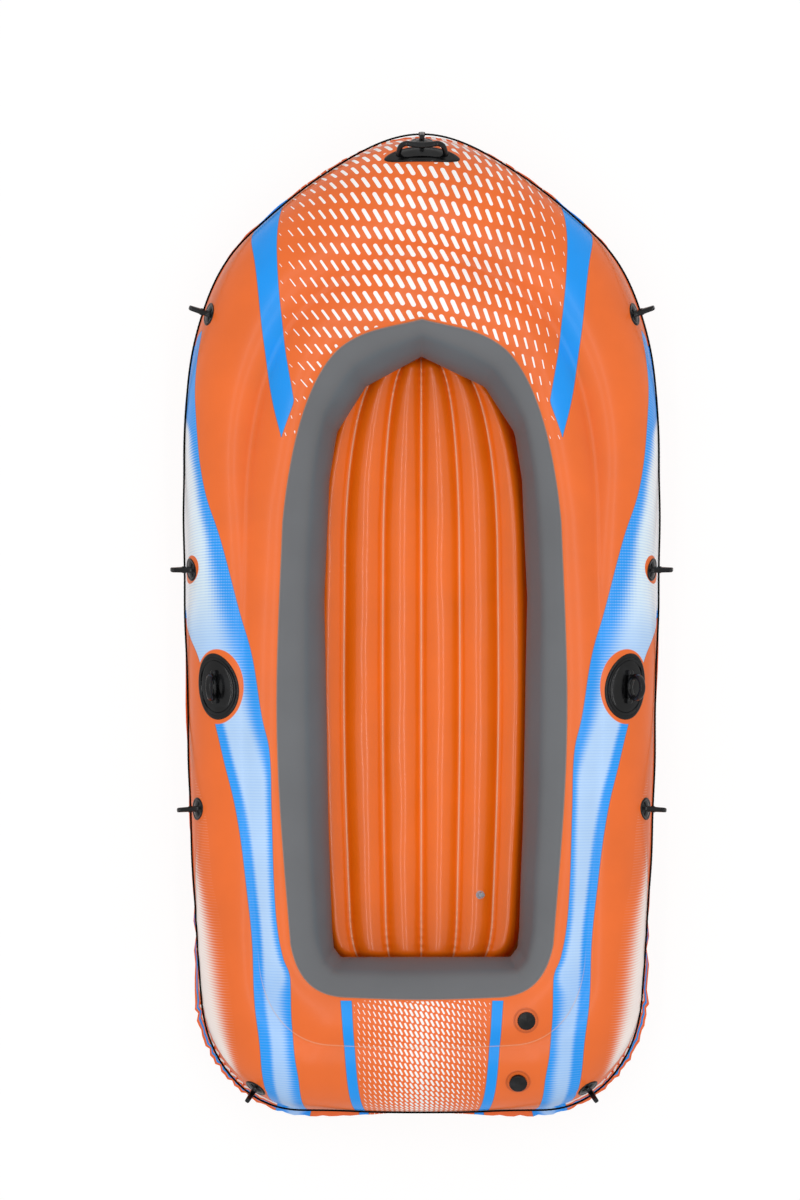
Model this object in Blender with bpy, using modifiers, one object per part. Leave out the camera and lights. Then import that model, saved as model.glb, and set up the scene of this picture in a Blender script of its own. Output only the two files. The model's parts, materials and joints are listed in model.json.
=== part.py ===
# Inflatable boat with two air chambers, a channelled air floor and a rope all round.
# Metres. +Y points to the bow, +X to starboard, +Z up. The origin is on the ground under the middle.
# The hull is lofted from upright sections. Each section joins a point of the outline, seen from
# above, to a point of the cockpit edge, and holds two tubes side by side with a web between them.

import math

import bmesh
import bpy
from mathutils import Matrix, Vector

# Overall size of the hull, out to its edge weld
LENGTH = 2.461
WIDTH = 1.208
BOW_Y = LENGTH / 2
STERN_Y = -LENGTH / 2
SIDE_X = WIDTH / 2

# Width of the deck between the edge weld and the cockpit edge
BOW_DECK = 0.5505
SIDE_DECK = 0.350
STERN_DECK = 0.3925

# Hull outline seen from above: half of it, from bow to stern, with headings in degrees
CHEEK_X = SIDE_X * 0.713
CHEEK_Y = BOW_Y - 0.2325
CHEEK_HEADING = 42.6
SIDE_Y = BOW_Y - 0.8075
QUARTER_X = SIDE_X - 0.0435
QUARTER_Y = STERN_Y + 0.2845
QUARTER_HEADING = 95.0
CORNER_X = SIDE_X - 0.2985
CORNER_Y = STERN_Y + 0.0076
CORNER_HEADING = 174.0

# Cockpit edge seen from above: half of it, from the pointed bow end to the stern
COCKPIT_BOW_Y = BOW_Y - BOW_DECK
COCKPIT_STERN_Y = STERN_Y + STERN_DECK
COCKPIT_SIDE_X = SIDE_X - SIDE_DECK
COCKPIT_BOW_HEADING = 20.0
COCKPIT_CHEEK_X = COCKPIT_SIDE_X * 0.6075
COCKPIT_CHEEK_Y = COCKPIT_BOW_Y - 0.0742
COCKPIT_CHEEK_HEADING = 45.4
COCKPIT_SIDE_Y = COCKPIT_BOW_Y - 0.480
COCKPIT_QUARTER_X = COCKPIT_SIDE_X - 0.0187
COCKPIT_QUARTER_Y = COCKPIT_STERN_Y + 0.1087
COCKPIT_QUARTER_HEADING = 93.2
COCKPIT_CORNER_X = COCKPIT_SIDE_X - 0.0923

# Air chambers
OUTER_TUBE_BOW = 0.176
OUTER_TUBE_SIDE = 0.139
OUTER_TUBE_STERN = 0.148
INNER_TUBE_BOW = 0.171
INNER_TUBE_SIDE = 0.145
INNER_TUBE_STERN = 0.156
BOW_RISE = 8.0
STERN_RISE = 2.0
SKIN = 0.0005
SEAM_FLANGE = 0.006
SEAT_GAP = 0.0003
SLIVER = 0.00005
HOLE_CUT = 0.03

# Grey cockpit panel: where it starts above the inner tube and ends below it, in degrees
BAND_TOP_BOW = 118.0
BAND_TOP_SIDE = 101.5
BAND_TOP_STERN = 111.0
BAND_FOOT = 213.0
BAND_LAP = 0.008

# Floor
BOTTOM_SHEET = 0.0012
BOTTOM_LAP = 0.012
FLOOR_CHANNELS = 6
FLOOR_CREST = 0.078
FLOOR_VALLEY = 0.022
FLOOR_TUCK = 0.045
FLOOR_NOSE = 0.014
FLOOR_SHOULDER = 0.050
FLOOR_FLANGE = 0.006
WEB_END_GAP = 0.075

# Rope and its holders
ROPE_DIAMETER = 0.0048
ROPE_ANGLE_BOW = 24.0
ROPE_ANGLE_SIDE = 12.0
ROPE_ANGLE_CORNER = 27.0
ROPE_ANGLE_STERN = 12.0
ROPE_RISE_RUN = 0.26
ROPE_STRAIGHT = 0.010
HOLDER_DIAMETER = 0.057
HOLDER_RIM = 0.0016
HOLDER_CONE = 0.0050
HOLDER_CONE_DIAMETER = 0.034
HOLDER_CONE_TOP = 0.45
HOLDER_LIP = 0.0004
HOLDER_TUCK = 0.006
FIN_THICKNESS = 0.0136
FIN_HEIGHT = 0.054
FIN_WIDTH_ROOT = 0.026
FIN_WIDTH_TIP = 0.013
FIN_WAIST = 0.82
BOW_FIN_LEAN = 80.0
CORNER_FIN_LEAN = 38.0
FIN_LEANS = {"bow": BOW_FIN_LEAN, "stern": CORNER_FIN_LEAN}
FIN_FOOT = HOLDER_RIM + 0.0005
EYELET_HEIGHT = 0.0185
EYELET_CLEARANCE = 0.0008
HOLDER_ANGLE_BOW = 25.5
HOLDER_ANGLE_SIDE = 30.0
HOLDER_ANGLE_CORNER = 27.0
HOLDER_FRONT_Y = BOW_Y - 0.4490
HOLDER_MIDDLE_Y = 0.142
HOLDER_REAR_Y = STERN_Y + 0.7725
HOLDER_CORNER_X = SIDE_X - 0.187

# Bow handle
HANDLE_LENGTH = 0.187
HANDLE_WIDTH = 0.058
HANDLE_RIM = 0.0018
HANDLE_SPAN = 0.112
HANDLE_RISE = 0.036
HANDLE_SAG = 0.004
HANDLE_BAR = 0.013
HANDLE_GRIP = 0.019
HANDLE_ANGLE = 46.5
HANDLE_TUCK = 0.008
# Patch from its middle to its edge: share of the half length, and height over the rim
HANDLE_PROFILE = ((0.0, 0.0012), (0.84, 0.0010), (0.94, 0.0), (1.0, -0.0008))
# Loop from a root to the middle: how far in from the root, share of the rise, share of the bar's width
HANDLE_PATH = ((-0.004, -0.055, 1.25), (-0.001, 0.35, 1.1), (0.004, 0.78, 1.05), (0.016, 1.0, 1.0))
HANDLE_GRIP_END = 0.45

# Oarlocks
OARLOCK_LENGTH = 0.165
OARLOCK_WIDTH = 0.118
OARLOCK_RIM = 0.0022
OARLOCK_DOME = 0.0060
OARLOCK_BEAD = 0.0016
# the base's face: share of the half width, and height over the rim
OARLOCK_PROFILE = (
    (0.0, OARLOCK_DOME - OARLOCK_RIM),
    (0.48, OARLOCK_DOME - OARLOCK_RIM - 0.0006),
    (0.77, 0.0012),
    (0.80, 0.0010 + OARLOCK_BEAD),
    (0.85, 0.0008 + OARLOCK_BEAD),
    (0.88, 0.0004),
    (0.97, 0.0),
    (1.0, -0.0010),
)
OARLOCK_TUCK = 0.012
OARLOCK_Y = -0.150
OARLOCK_ANGLE = 65.0
OAR_RING_DIAMETER = 0.0676
OAR_RING_BORE = 0.0438
OAR_RING_DEPTH = 0.015
OAR_RING_EDGE = 0.0022
OAR_RING_CUT = (0.08, 0.04, 0.02)
KNUCKLE_DIAMETER = 0.013
KNUCKLE_LENGTH = 0.056
PIN_DIAMETER = 0.005
PIN_CLEARANCE = 0.0003
PIN_CUT = 0.12
EAR_THICKNESS = 0.012
EAR_HEIGHT = 0.0065
EAR_FOOT = 0.006
EAR_SINK = 0.003
EAR_FOOT_HEIGHT = 0.002
EAR_CORNER = (0.004, 0.006)
HINGE_HEIGHT = 0.0095
PORT_RING_LEAN = 16.0
STARBOARD_RING_LEAN = -3.5

# Hull valves, along their own axis from the skin outwards
VALVE_SEAT_DIAMETER = 0.060
VALVE_SEAT_DEPTH = 0.0055
VALVE_SEAT_BLANK = 0.004
VALVE_NECK_DIAMETER = 0.040
VALVE_NECK_RISE = 0.0034
VALVE_BORE = 0.0332
VALVE_THREAD_CLEARANCE = 0.0004
VALVE_BODY_DEPTH = 0.016
VALVE_BODY_FLANGE = 0.0022
VALVE_BODY_DIAMETER = 0.0420
VALVE_BODY_EDGE = 0.0006
VALVE_SPOKE = (0.0026, 0.002)
VALVE_SPOKE_ROOT = 0.002
VALVE_THROAT = 0.0240
VALVE_WASHER = 0.0008
WASHER_CLEARANCE = 0.0005
CAP_WASHER_WIDTH = 0.0045
VALVE_CAP_DIAMETER = 0.0450
VALVE_CAP_HEIGHT = 0.0042
VALVE_PLUG_DEPTH = 0.0085
VALVE_PLUG_WALL = 0.0022
# the cap's crown: share of its radius, and depth under the rim
VALVE_CAP_CROWN = ((0.0, 0.0016), (0.10, 0.0016), (0.18, 0.0008), (0.50, 0.0008), (0.56, 0.0))
VALVE_CAP_EDGE = 0.0014
VALVE_CAP_SHELL = 0.001
VALVE_FLAP = 0.0009
VALVE_FLAP_MARGIN = 0.0015
INNER_VALVE_X = 0.258
INNER_VALVE_Y = STERN_Y + 0.254
OUTER_VALVE_X = 0.2387
OUTER_VALVE_Y = STERN_Y + 0.0998

# Floor valve
FLOOR_VALVE_CHANNEL = 4
FLOOR_VALVE_FACET = 0.5
FLOOR_VALVE_ROOM = 0.018
FLOOR_VALVE_Y = COCKPIT_STERN_Y + 0.151
FLOOR_VALVE_FLANGE = 0.022
FLOOR_VALVE_SHEET = 0.0010
FLOOR_VALVE_STEM = 0.0115
FLOOR_VALVE_BORE = 0.0080
FLOOR_VALVE_RISE = 0.0060
FLOOR_VALVE_DEPTH = 0.008
FLOOR_PLUG_HEAD = 0.0022
FLOOR_PLUG_DEPTH = 0.0042
FLOOR_PLUG_TAPER = 0.0014
FLOOR_PLUG_HINGE = 0.0095
FLOOR_PLUG_DIMPLE = (0.0022, 0.0030, 0.0007)
FLOOR_PLUG_EDGE = 0.0004
FLOOR_STEM_FILLET = 0.0012
FLOOR_EAR = (0.006, 0.005, 0.003)
FLOOR_EAR_PLACE = (0.002, 0.0022)
FLOOR_STRAP = (0.004, 0.0011)
FLOOR_BARREL = (0.0022, 0.005)

# Sections of the floor between its valve and the cockpit's bow cheeks, as shares of that run
FLOOR_SHARES = (0.22, 0.56, 0.75, 0.843, 0.904, 0.957, 1.0)
# Rounding of the floor's ends, as shares of the shoulder
SHOULDER_SHARES = (0.0, 0.08, 0.3, 0.65, 1.0)

# How finely the sections follow the outline and the tubes
STEPS_PER_SPAN = (5, 4, 5, 5, 3)
OUTER_STEPS = 6
INNER_STEPS = 2
BAND_STEPS = 6
UNDER_STEPS = 3

UP = Vector((0, 0, 1))


# Plan curves


def heading(degrees):
    # 0 runs straight out to the side, 90 straight aft
    turn = math.radians(degrees)
    return Vector((math.cos(turn), -math.sin(turn)))


# Each row: x, y, heading, and how far the curve's handles reach before and after the point, as a
# share of the distance to its neighbour
OUTLINE = (
    (0.0, BOW_Y, 0.0, 0.0, 0.288),
    (CHEEK_X, CHEEK_Y, CHEEK_HEADING, 0.413, 0.242),
    (SIDE_X, SIDE_Y, 90.0, 0.474, 0.292),
    (QUARTER_X, QUARTER_Y, QUARTER_HEADING, 0.241, 0.439),
    (CORNER_X, CORNER_Y, CORNER_HEADING, 0.319, 0.262),
    (0.0, STERN_Y, 180.0, 0.327, 0.0),
)
COCKPIT = (
    (0.0, COCKPIT_BOW_Y, COCKPIT_BOW_HEADING, 0.0, 0.350),
    (COCKPIT_CHEEK_X, COCKPIT_CHEEK_Y, COCKPIT_CHEEK_HEADING, 0.339, 0.254),
    (COCKPIT_SIDE_X, COCKPIT_SIDE_Y, 90.0, 0.353, 0.323),
    (COCKPIT_QUARTER_X, COCKPIT_QUARTER_Y, COCKPIT_QUARTER_HEADING, 0.301, 0.556),
    (COCKPIT_CORNER_X, COCKPIT_STERN_Y, 180.0, 0.419, 0.309),
    (0.0, COCKPIT_STERN_Y, 180.0, 0.309, 0.0),
)
SPANS = len(OUTLINE) - 1


def plan_point(curve, q):
    # q counts spans from the bow, 0 to SPANS
    span = min(int(q), SPANS - 1)
    x0, y0, turn0, _, after = curve[span]
    x1, y1, turn1, before, _ = curve[span + 1]
    start, end = Vector((x0, y0)), Vector((x1, y1))
    reach = (end - start).length
    near = start + heading(turn0) * after * reach
    far = end - heading(turn1) * before * reach
    t = q - span
    s = 1 - t
    return s**3 * start + 3 * s * s * t * near + 3 * s * t * t * far + t**3 * end


def blend(values, q):
    # eases from one named value to the next along the hull
    span = min(int(q), SPANS - 1)
    t = q - span
    t = t * t * (3 - 2 * t)
    return values[span] * (1 - t) + values[span + 1] * t


def at_points(bow, side, stern):
    return (bow, (bow + side) / 2, side, side, stern, stern)


class Section:
    # One upright cut through both tubes. side is 1 to starboard and -1 to port.
    def __init__(self, q, side=1):
        edge, inner = plan_point(OUTLINE, q), plan_point(COCKPIT, q)
        out = (edge - inner).normalized()
        self.q, self.side = q, side
        self.out = Vector((out.x * side, out.y, 0))
        self.foot = Vector((inner.x * side, inner.y, 0))
        self.width = (edge - inner).length - SEAM_FLANGE
        self.outer_r = blend(at_points(OUTER_TUBE_BOW, OUTER_TUBE_SIDE, OUTER_TUBE_STERN), q)
        self.inner_r = blend(at_points(INNER_TUBE_BOW, INNER_TUBE_SIDE, INNER_TUBE_STERN), q)
        self.rise = math.radians(blend(at_points(BOW_RISE, 0.0, STERN_RISE), q))
        self.band_top = blend(at_points(BAND_TOP_BOW, BAND_TOP_SIDE, BAND_TOP_STERN), q)
        self.spacing = (self.width - self.outer_r - self.inner_r) / math.cos(self.rise)
        self.inner_c = Vector((self.inner_r, self.inner_r + BOTTOM_SHEET + SEAT_GAP))
        line = Vector((math.cos(self.rise), math.sin(self.rise)))
        self.outer_c = self.inner_c + line * self.spacing
        self.line, self.across = line, Vector((-line.y, line.x))

    def to_space(self, point):
        return self.foot + self.out * point.x + UP * point.y

    def on_tube(self, tube, degrees, grow=0.0):
        centre, radius = (self.outer_c, self.outer_r) if tube == "outer" else (self.inner_c, self.inner_r)
        turn = math.radians(degrees)
        return centre + Vector((math.cos(turn), math.sin(turn))) * (radius + grow)

    def crease(self, upper, grow=0.0):
        # where the two circles cross, above or below the line of centres
        big, small = self.outer_r + grow, self.inner_r + grow
        along = (self.spacing**2 + big**2 - small**2) / (2 * self.spacing)
        half = math.sqrt(big**2 - along**2)
        return self.outer_c - self.line * along + self.across * (half if upper else -half)

    def angle_of(self, tube, point):
        arm = point - (self.outer_c if tube == "outer" else self.inner_c)
        return math.degrees(math.atan2(arm.y, arm.x))

    def lap(self):
        return math.degrees(BAND_LAP / self.inner_r)


def steps(first, last, count):
    return [first + (last - first) * k / count for k in range(1, count + 1)]


def upper_profile(cut):
    # the upper skin's outer face, from the edge weld over both tubes to its end under the grey panel
    level = cut.outer_c.y + SEAT_GAP / 2 + SKIN
    top = cut.crease(True)
    points = [Vector((cut.width + SEAM_FLANGE, level)), Vector((cut.width, level))]
    for degrees in steps(0.0, cut.angle_of("outer", top), OUTER_STEPS)[:-1]:
        points.append(cut.on_tube("outer", degrees))
    points.append(top)
    for degrees in steps(cut.angle_of("inner", top), cut.band_top, INNER_STEPS):
        points.append(cut.on_tube("inner", degrees))
    points.append(cut.on_tube("inner", cut.band_top + cut.lap()))
    return points


def lower_profile(cut):
    # the lower skin's outer face, from the edge weld under both tubes to its end behind the panel's foot
    level = cut.outer_c.y - SEAT_GAP / 2 - SKIN
    low = cut.crease(False)
    points = [Vector((cut.width + SEAM_FLANGE, level)), Vector((cut.width, level))]
    for degrees in steps(0.0, cut.angle_of("outer", low), OUTER_STEPS)[:-1]:
        points.append(cut.on_tube("outer", degrees))
    points += [low, cut.on_tube("inner", -90.0)]
    for degrees in steps(-90.0, BAND_FOOT - 360.0 + cut.lap(), UNDER_STEPS):
        points.append(cut.on_tube("inner", degrees))
    points.append(cut.on_tube("inner", BAND_FOOT - 360.0))
    return points[::-1]


def band_profile(cut):
    # the grey panel's outer face, lapped on both skins
    grow = SEAT_GAP + SKIN
    inside = BAND_FOOT + cut.lap()
    angles = [cut.band_top, cut.band_top + cut.lap()]
    angles += steps(angles[-1], BAND_FOOT, BAND_STEPS) + [inside]
    return [cut.on_tube("inner", degrees, grow) for degrees in angles]


def hull_contour(cut, grow):
    # closed outline of both tubes together, grown or shrunk, on the same facets as the skins
    top, low = cut.crease(True), cut.crease(False)
    points = [cut.on_tube("outer", 0.0, grow)]
    for degrees in steps(0.0, cut.angle_of("outer", top), OUTER_STEPS)[:-1]:
        points.append(cut.on_tube("outer", degrees, grow))
    points.append(cut.crease(True, grow))
    for degrees in steps(cut.angle_of("inner", top), cut.band_top, INNER_STEPS):
        points.append(cut.on_tube("inner", degrees, grow))
    for degrees in steps(cut.band_top, 270.0, BAND_STEPS + UNDER_STEPS):
        points.append(cut.on_tube("inner", degrees, grow))
    points.append(cut.crease(False, grow))
    for degrees in reversed(steps(0.0, cut.angle_of("outer", low), OUTER_STEPS)[:-1]):
        points.append(cut.on_tube("outer", degrees, grow))
    return points


def half_stations():
    found = [0.0]
    for span, count in enumerate(STEPS_PER_SPAN):
        found += [span + k / count for k in range(1, count + 1)]
    return found


def ring_sections(places):
    # down the starboard side from the bow, and back up the port side
    right = [Section(q) for q in places]
    left = [Section(q, -1) for q in reversed(places[1:-1])]
    return right + left


# Blender helpers


def clear_scene():
    for obj in list(bpy.data.objects):
        bpy.data.objects.remove(obj, do_unlink=True)


def new_collection(name):
    made = bpy.data.collections.new(name)
    bpy.context.scene.collection.children.link(made)
    return made


def material(name, colour, roughness, metallic=0.0):
    made = bpy.data.materials.new(name)
    made.use_nodes = True
    shader = made.node_tree.nodes["Principled BSDF"]
    shader.inputs["Base Color"].default_value = (*colour, 1.0)
    shader.inputs["Roughness"].default_value = roughness
    shader.inputs["Metallic"].default_value = metallic
    made.diffuse_color = (*colour, 1.0)
    return made


def add_mesh(name, mesh, slot=None, where=None):
    obj = bpy.data.objects.new(name, mesh)
    (where or boat).objects.link(obj)
    if slot:
        mesh.materials.append(slot)
    return obj


def mesh_from(name, points, faces):
    mesh = bpy.data.meshes.new(name)
    mesh.from_pydata([tuple(p) for p in points], [], faces)
    mesh.update()
    return mesh


def loft(name, rows, closed_rows, closed_across):
    # a skin through rows of points; the rows and the run across them may each close on themselves.
    # It is made of triangles, so that two lofts over the same rows share their facets.
    count = len(rows[0])
    faces = []
    for i in range(len(rows) if closed_rows else len(rows) - 1):
        here, there = i * count, (i + 1) % len(rows) * count
        for j in range(count if closed_across else count - 1):
            k = (j + 1) % count
            faces.append((here + j, there + j, there + k))
            faces.append((here + j, there + k, here + k))
    return mesh_from(name, [p for row in rows for p in row], faces)


def face_outwards(mesh, flip=False):
    work = bmesh.new()
    work.from_mesh(mesh)
    bmesh.ops.recalc_face_normals(work, faces=work.faces)
    if flip:
        bmesh.ops.reverse_faces(work, faces=work.faces)
    work.to_mesh(mesh)
    work.free()


def thicken(obj, thickness, offset):
    shell = obj.modifiers.new("Thickness", "SOLIDIFY")
    shell.thickness = thickness
    shell.offset = offset
    shell.use_even_offset = True


def boolean(obj, cutter, operation="DIFFERENCE"):
    step = obj.modifiers.new(operation.title(), "BOOLEAN")
    step.operation = operation
    step.object = cutter


def bake(obj):
    # makes the modifiers' result the object's own mesh
    bpy.context.view_layer.update()
    graph = bpy.context.evaluated_depsgraph_get()
    result = bpy.data.meshes.new_from_object(obj.evaluated_get(graph))
    obj.modifiers.clear()
    old = obj.data
    obj.data = result
    if old.users == 0 and isinstance(old, bpy.types.Mesh):
        bpy.data.meshes.remove(old)
    return obj


def drop_slivers(obj):
    # a cut through slanting facets can leave needles; they are closed up
    work = bmesh.new()
    work.from_mesh(obj.data)
    bmesh.ops.triangulate(work, faces=work.faces)
    bmesh.ops.dissolve_degenerate(work, dist=SLIVER, edges=work.edges)
    bmesh.ops.triangulate(work, faces=work.faces)
    work.to_mesh(obj.data)
    work.free()


def remove(obj):
    bpy.data.objects.remove(obj, do_unlink=True)


def as_cutter(obj):
    obj.hide_render = True
    obj.display_type = "WIRE"
    return obj


def turned(name, profile, sides, slot=None, where=None):
    # a profile of (radius, height) turned round Z; it runs down the outside and may end on the axis
    ring = [(radius, 0.0, height) for radius, height in profile]
    edges = [(k, k + 1) for k in range(len(ring) - 1)]
    if profile[0][0] > 0 and profile[-1][0] > 0:
        edges.append((len(ring) - 1, 0))
    mesh = bpy.data.meshes.new(name)
    mesh.from_pydata(ring, edges, [])
    obj = add_mesh(name, mesh, slot, where)
    turn = obj.modifiers.new("Turn", "SCREW")
    turn.steps = turn.render_steps = sides
    turn.use_merge_vertices = True
    turn.merge_threshold = 1e-5
    return bake(obj)


def block(name, size, centre, where=None):
    mesh = bpy.data.meshes.new(name)
    work = bmesh.new()
    bmesh.ops.create_cube(work, size=1.0)
    bmesh.ops.scale(work, vec=size, verts=work.verts)
    bmesh.ops.translate(work, vec=centre, verts=work.verts)
    work.to_mesh(mesh)
    work.free()
    return add_mesh(name, mesh, None, where or cutters)


def rod(name, diameter, length, sides, turn, centre=(0, 0, 0), slot=None, where=None):
    mesh = bpy.data.meshes.new(name)
    work = bmesh.new()
    bmesh.ops.create_cone(
        work, cap_ends=True, segments=sides, radius1=diameter / 2, radius2=diameter / 2, depth=length
    )
    bmesh.ops.transform(work, matrix=Matrix.Translation(centre) @ turn, verts=work.verts)
    work.to_mesh(mesh)
    work.free()
    return add_mesh(name, mesh, slot, where or cutters)


ALONG_X = Matrix.Rotation(math.pi / 2, 4, "Y")
ALONG_Y = Matrix.Rotation(math.pi / 2, 4, "X")
UPRIGHT = Matrix.Identity(4)
# stands a plate up: its width along Y, its height along Z and its thickness along X
ACROSS_X = Matrix(((0, 0, 1), (1, 0, 0), (0, 1, 0))).to_4x4()


def plate(name, outline, thickness, turn, where=None):
    # a flat outline in X and Y, extruded evenly about its plane and then turned
    mesh = bpy.data.meshes.new(name)
    work = bmesh.new()
    face = work.faces.new([work.verts.new((x, y, -thickness / 2)) for x, y in outline])
    up = bmesh.ops.extrude_face_region(work, geom=[face])["geom"]
    bmesh.ops.translate(
        work, vec=(0, 0, thickness), verts=[v for v in up if isinstance(v, bmesh.types.BMVert)]
    )
    bmesh.ops.recalc_face_normals(work, faces=work.faces)
    bmesh.ops.transform(work, matrix=turn, verts=work.verts)
    work.to_mesh(mesh)
    work.free()
    return add_mesh(name, mesh, None, where or cutters)


def join(obj, others):
    for other in others:
        boolean(obj, other, "UNION")
    bake(obj)
    for other in others:
        remove(other)
    return obj


def cut(obj, others, keep=()):
    for other in others:
        boolean(obj, other)
    bake(obj)
    for other in others:
        if other not in keep:
            remove(other)
    return obj


def shade(obj, degrees=35.0):
    obj.data.shade_smooth()
    obj.data.set_sharp_from_angle(angle=math.radians(degrees))


# Places on the hull


def halve(low, high, above):
    # the value between low and high where the test turns true
    for _ in range(40):
        middle = (low + high) / 2
        if above(middle):
            high = middle
        else:
            low = middle
    return (low + high) / 2


def station_over(x, y):
    # the section that passes over the plan point
    def passed(q):
        section = Section(q)
        return section.out.cross(Vector((x, y, 0)) - section.foot).z > 0

    return halve(0.0, float(SPANS), passed)


def station_abeam(y, degrees):
    # where a line along the outer tube's side crosses that y
    return halve(0.5, 3.5, lambda q: hull_point(q, 1, "outer", degrees).y < y)


def station_astern(x, degrees):
    # where a line round the stern corner crosses that x
    return halve(3.0, float(SPANS), lambda q: hull_point(q, 1, "outer", degrees).x < x)


def angle_over(q, tube, x, y):
    # the angle on the tube whose upper face lies over the plan point
    section = Section(q)
    centre = section.outer_c if tube == "outer" else section.inner_c
    radius = section.outer_r if tube == "outer" else section.inner_r
    reach = (Vector((x, y, 0)) - section.foot).dot(section.out) - centre.x
    return math.degrees(math.acos(reach / radius))


def hull_point(q, side, tube, degrees, grow=0.0):
    # q may run past the bow or the stern, where the other side goes on
    if q < 0:
        q, side = -q, -side
    if q > SPANS:
        q, side = 2 * SPANS - q, -side
    section = Section(q, side)
    return section.to_space(section.on_tube(tube, degrees, grow))


def hull_frame(q, side, tube, degrees):
    # X runs aft along the hull, Z stands square to it; Y completes the frame
    step, turn = 0.01, 1.0
    point = hull_point(q, side, tube, degrees)
    along = hull_point(q + step, side, tube, degrees) - hull_point(q - step, side, tube, degrees)
    around = hull_point(q, side, tube, degrees + turn) - hull_point(q, side, tube, degrees - turn)
    along.normalize()
    out = along.cross(around).normalized()
    if out.dot(hull_point(q, side, tube, degrees, 0.01) - point) < 0:
        out = -out
    frame = Matrix((along, out.cross(along), out)).transposed().to_4x4()
    frame.translation = point
    return frame


def lay_on_hull(obj, q, side, tube, degrees):
    # bends a piece that was made flat, round the tube and along it
    step = 0.05
    run = (hull_point(q + step, side, tube, degrees) - hull_point(q - step, side, tube, degrees)).length
    section = Section(q, side)
    radius = section.outer_r if tube == "outer" else section.inner_r
    lift = -side if tube else side
    for vertex in obj.data.vertices:
        x, y, z = vertex.co
        turn = degrees + math.degrees(lift * y / radius)
        vertex.co = hull_point(q + x / run * 2 * step, side, tube, turn, z)
    face_outwards(obj.data)


# Hull


def make_hull(vinyl, grey):
    sections = ring_sections(half_stations())

    def skin(name, profile, slot, flip):
        rows = [[s.to_space(p) for p in profile(s)] for s in sections]
        obj = add_mesh(name, loft(name, rows, True, False), slot)
        if flip:
            obj.data.flip_normals()
        thicken(obj, SKIN, -1.0)
        shade(obj, 60.0)
        return obj

    upper = skin("upper_skin", upper_profile, vinyl, True)
    skin("lower_skin", lower_profile, vinyl, True)
    skin("cockpit_band", band_profile, grey, True)

    rows = []
    for s in sections:
        middle = (s.crease(True) + s.crease(False)) / 2
        half = (s.crease(True) - s.crease(False)).length / 2 - SKIN - SEAT_GAP
        rows.append([s.to_space(middle + s.across * half), s.to_space(middle - s.across * half)])
    web = add_mesh("divider_web", loft("divider_web", rows, True, False), vinyl)
    thicken(web, SKIN, 0.0)

    sheet = [s.foot + s.out * (s.inner_r + BOTTOM_LAP) for s in sections]
    flat_sheet("bottom_sheet", sheet, BOTTOM_SHEET, vinyl)
    return upper, sections


def flat_sheet(name, points, thickness, slot):
    curve = bpy.data.curves.new(name, "CURVE")
    curve.dimensions = "2D"
    curve.fill_mode = "BOTH"
    curve.extrude = thickness / 2
    line = curve.splines.new("POLY")
    line.points.add(len(points) - 1)
    for target, point in zip(line.points, points):
        target.co = (point.x, point.y, 0.0, 1.0)
    line.use_cyclic_u = True
    obj = bpy.data.objects.new(name, curve)
    boat.objects.link(obj)
    obj.location.z = thickness / 2
    curve.materials.append(slot)
    return obj


def hull_solid(name, sections, grow):
    rows = [[s.to_space(p) for p in hull_contour(s, grow)] for s in sections]
    obj = add_mesh(name, loft(name, rows, True, True), None, cutters)
    face_outwards(obj.data)
    return as_cutter(obj)


# Floor


def floor_outline():
    # half width of the floor sheet against y, read off the cockpit edge pushed out under the tube
    rows = []
    for k in range(SPANS * 24 + 1):
        section = Section(k / 24)
        point = section.foot + section.out * FLOOR_TUCK
        rows.append((point.y, point.x))
    return rows


def floor_ends(rows):
    # the bow end is cut square a little short of the outline's point
    return rows[0][0] - FLOOR_NOSE, rows[-1][0]


def floor_half_width(rows, y):
    # the stern edge runs square across, so it counts from a hair ahead of it
    y = max(y, rows[-1][0] + 0.001)
    for (y1, x1), (y0, x0) in zip(rows, rows[1:]):
        if y0 <= y <= y1 and y1 > y0:
            return x0 + (x1 - x0) * (y - y0) / (y1 - y0)
    return rows[-1][1]


def floor_stations(rows):
    bow, stern = floor_ends(rows)
    ends = [-FLOOR_FLANGE] + [FLOOR_SHOULDER * f for f in SHOULDER_SHARES]
    last = COCKPIT_CHEEK_Y + 0.02
    middle = [FLOOR_VALVE_Y - FLOOR_VALVE_ROOM, FLOOR_VALVE_Y + FLOOR_VALVE_ROOM]
    middle += [FLOOR_VALVE_Y + (last - FLOOR_VALVE_Y) * share for share in FLOOR_SHARES]
    return [stern + e for e in ends] + middle + [bow - e for e in reversed(ends)]


def floor_height(rows, u, y):
    # the sheet's underside; u runs from -1 to 1 across the floor
    bow, _ = floor_ends(rows)
    spot = Vector((abs(u) * floor_half_width(rows, y), y))
    place = (u + 1) * FLOOR_CHANNELS / 2
    across = 2 * (place - math.floor(place)) - 1
    crown = FLOOR_CREST - FLOOR_VALLEY * across * across
    inward = min(outline_distance(rows, spot), bow - y) / FLOOR_SHOULDER
    return BOTTOM_SHEET + SEAT_GAP + crown * math.sin(math.pi / 2 * min(max(inward, 0.0), 1.0))


def outline_distance(rows, spot):
    if spot.y <= rows[-1][0]:
        return 0.0
    least = FLOOR_SHOULDER
    for (y1, x1), (y0, x0) in zip(rows, rows[1:]):
        start, run = Vector((x1, y1)), Vector((x0 - x1, y0 - y1))
        t = min(max((spot - start).dot(run) / max(run.length_squared, 1e-12), 0.0), 1.0)
        least = min(least, (start + run * t - spot).length)
    return least


def floor_columns():
    # places across the floor: four to a channel, and more of them on the rounded sides
    inner = []
    for channel in range(1, FLOOR_CHANNELS - 1):
        inner += [-1 + (2 * channel + f) / FLOOR_CHANNELS for f in (0.0, 0.5, 1.0, 1.5)]
    left = [-1.0, -0.97, -0.925, -0.86, -0.76]
    return left + inner + [-u for u in reversed(left + [inner[0]])]


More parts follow.
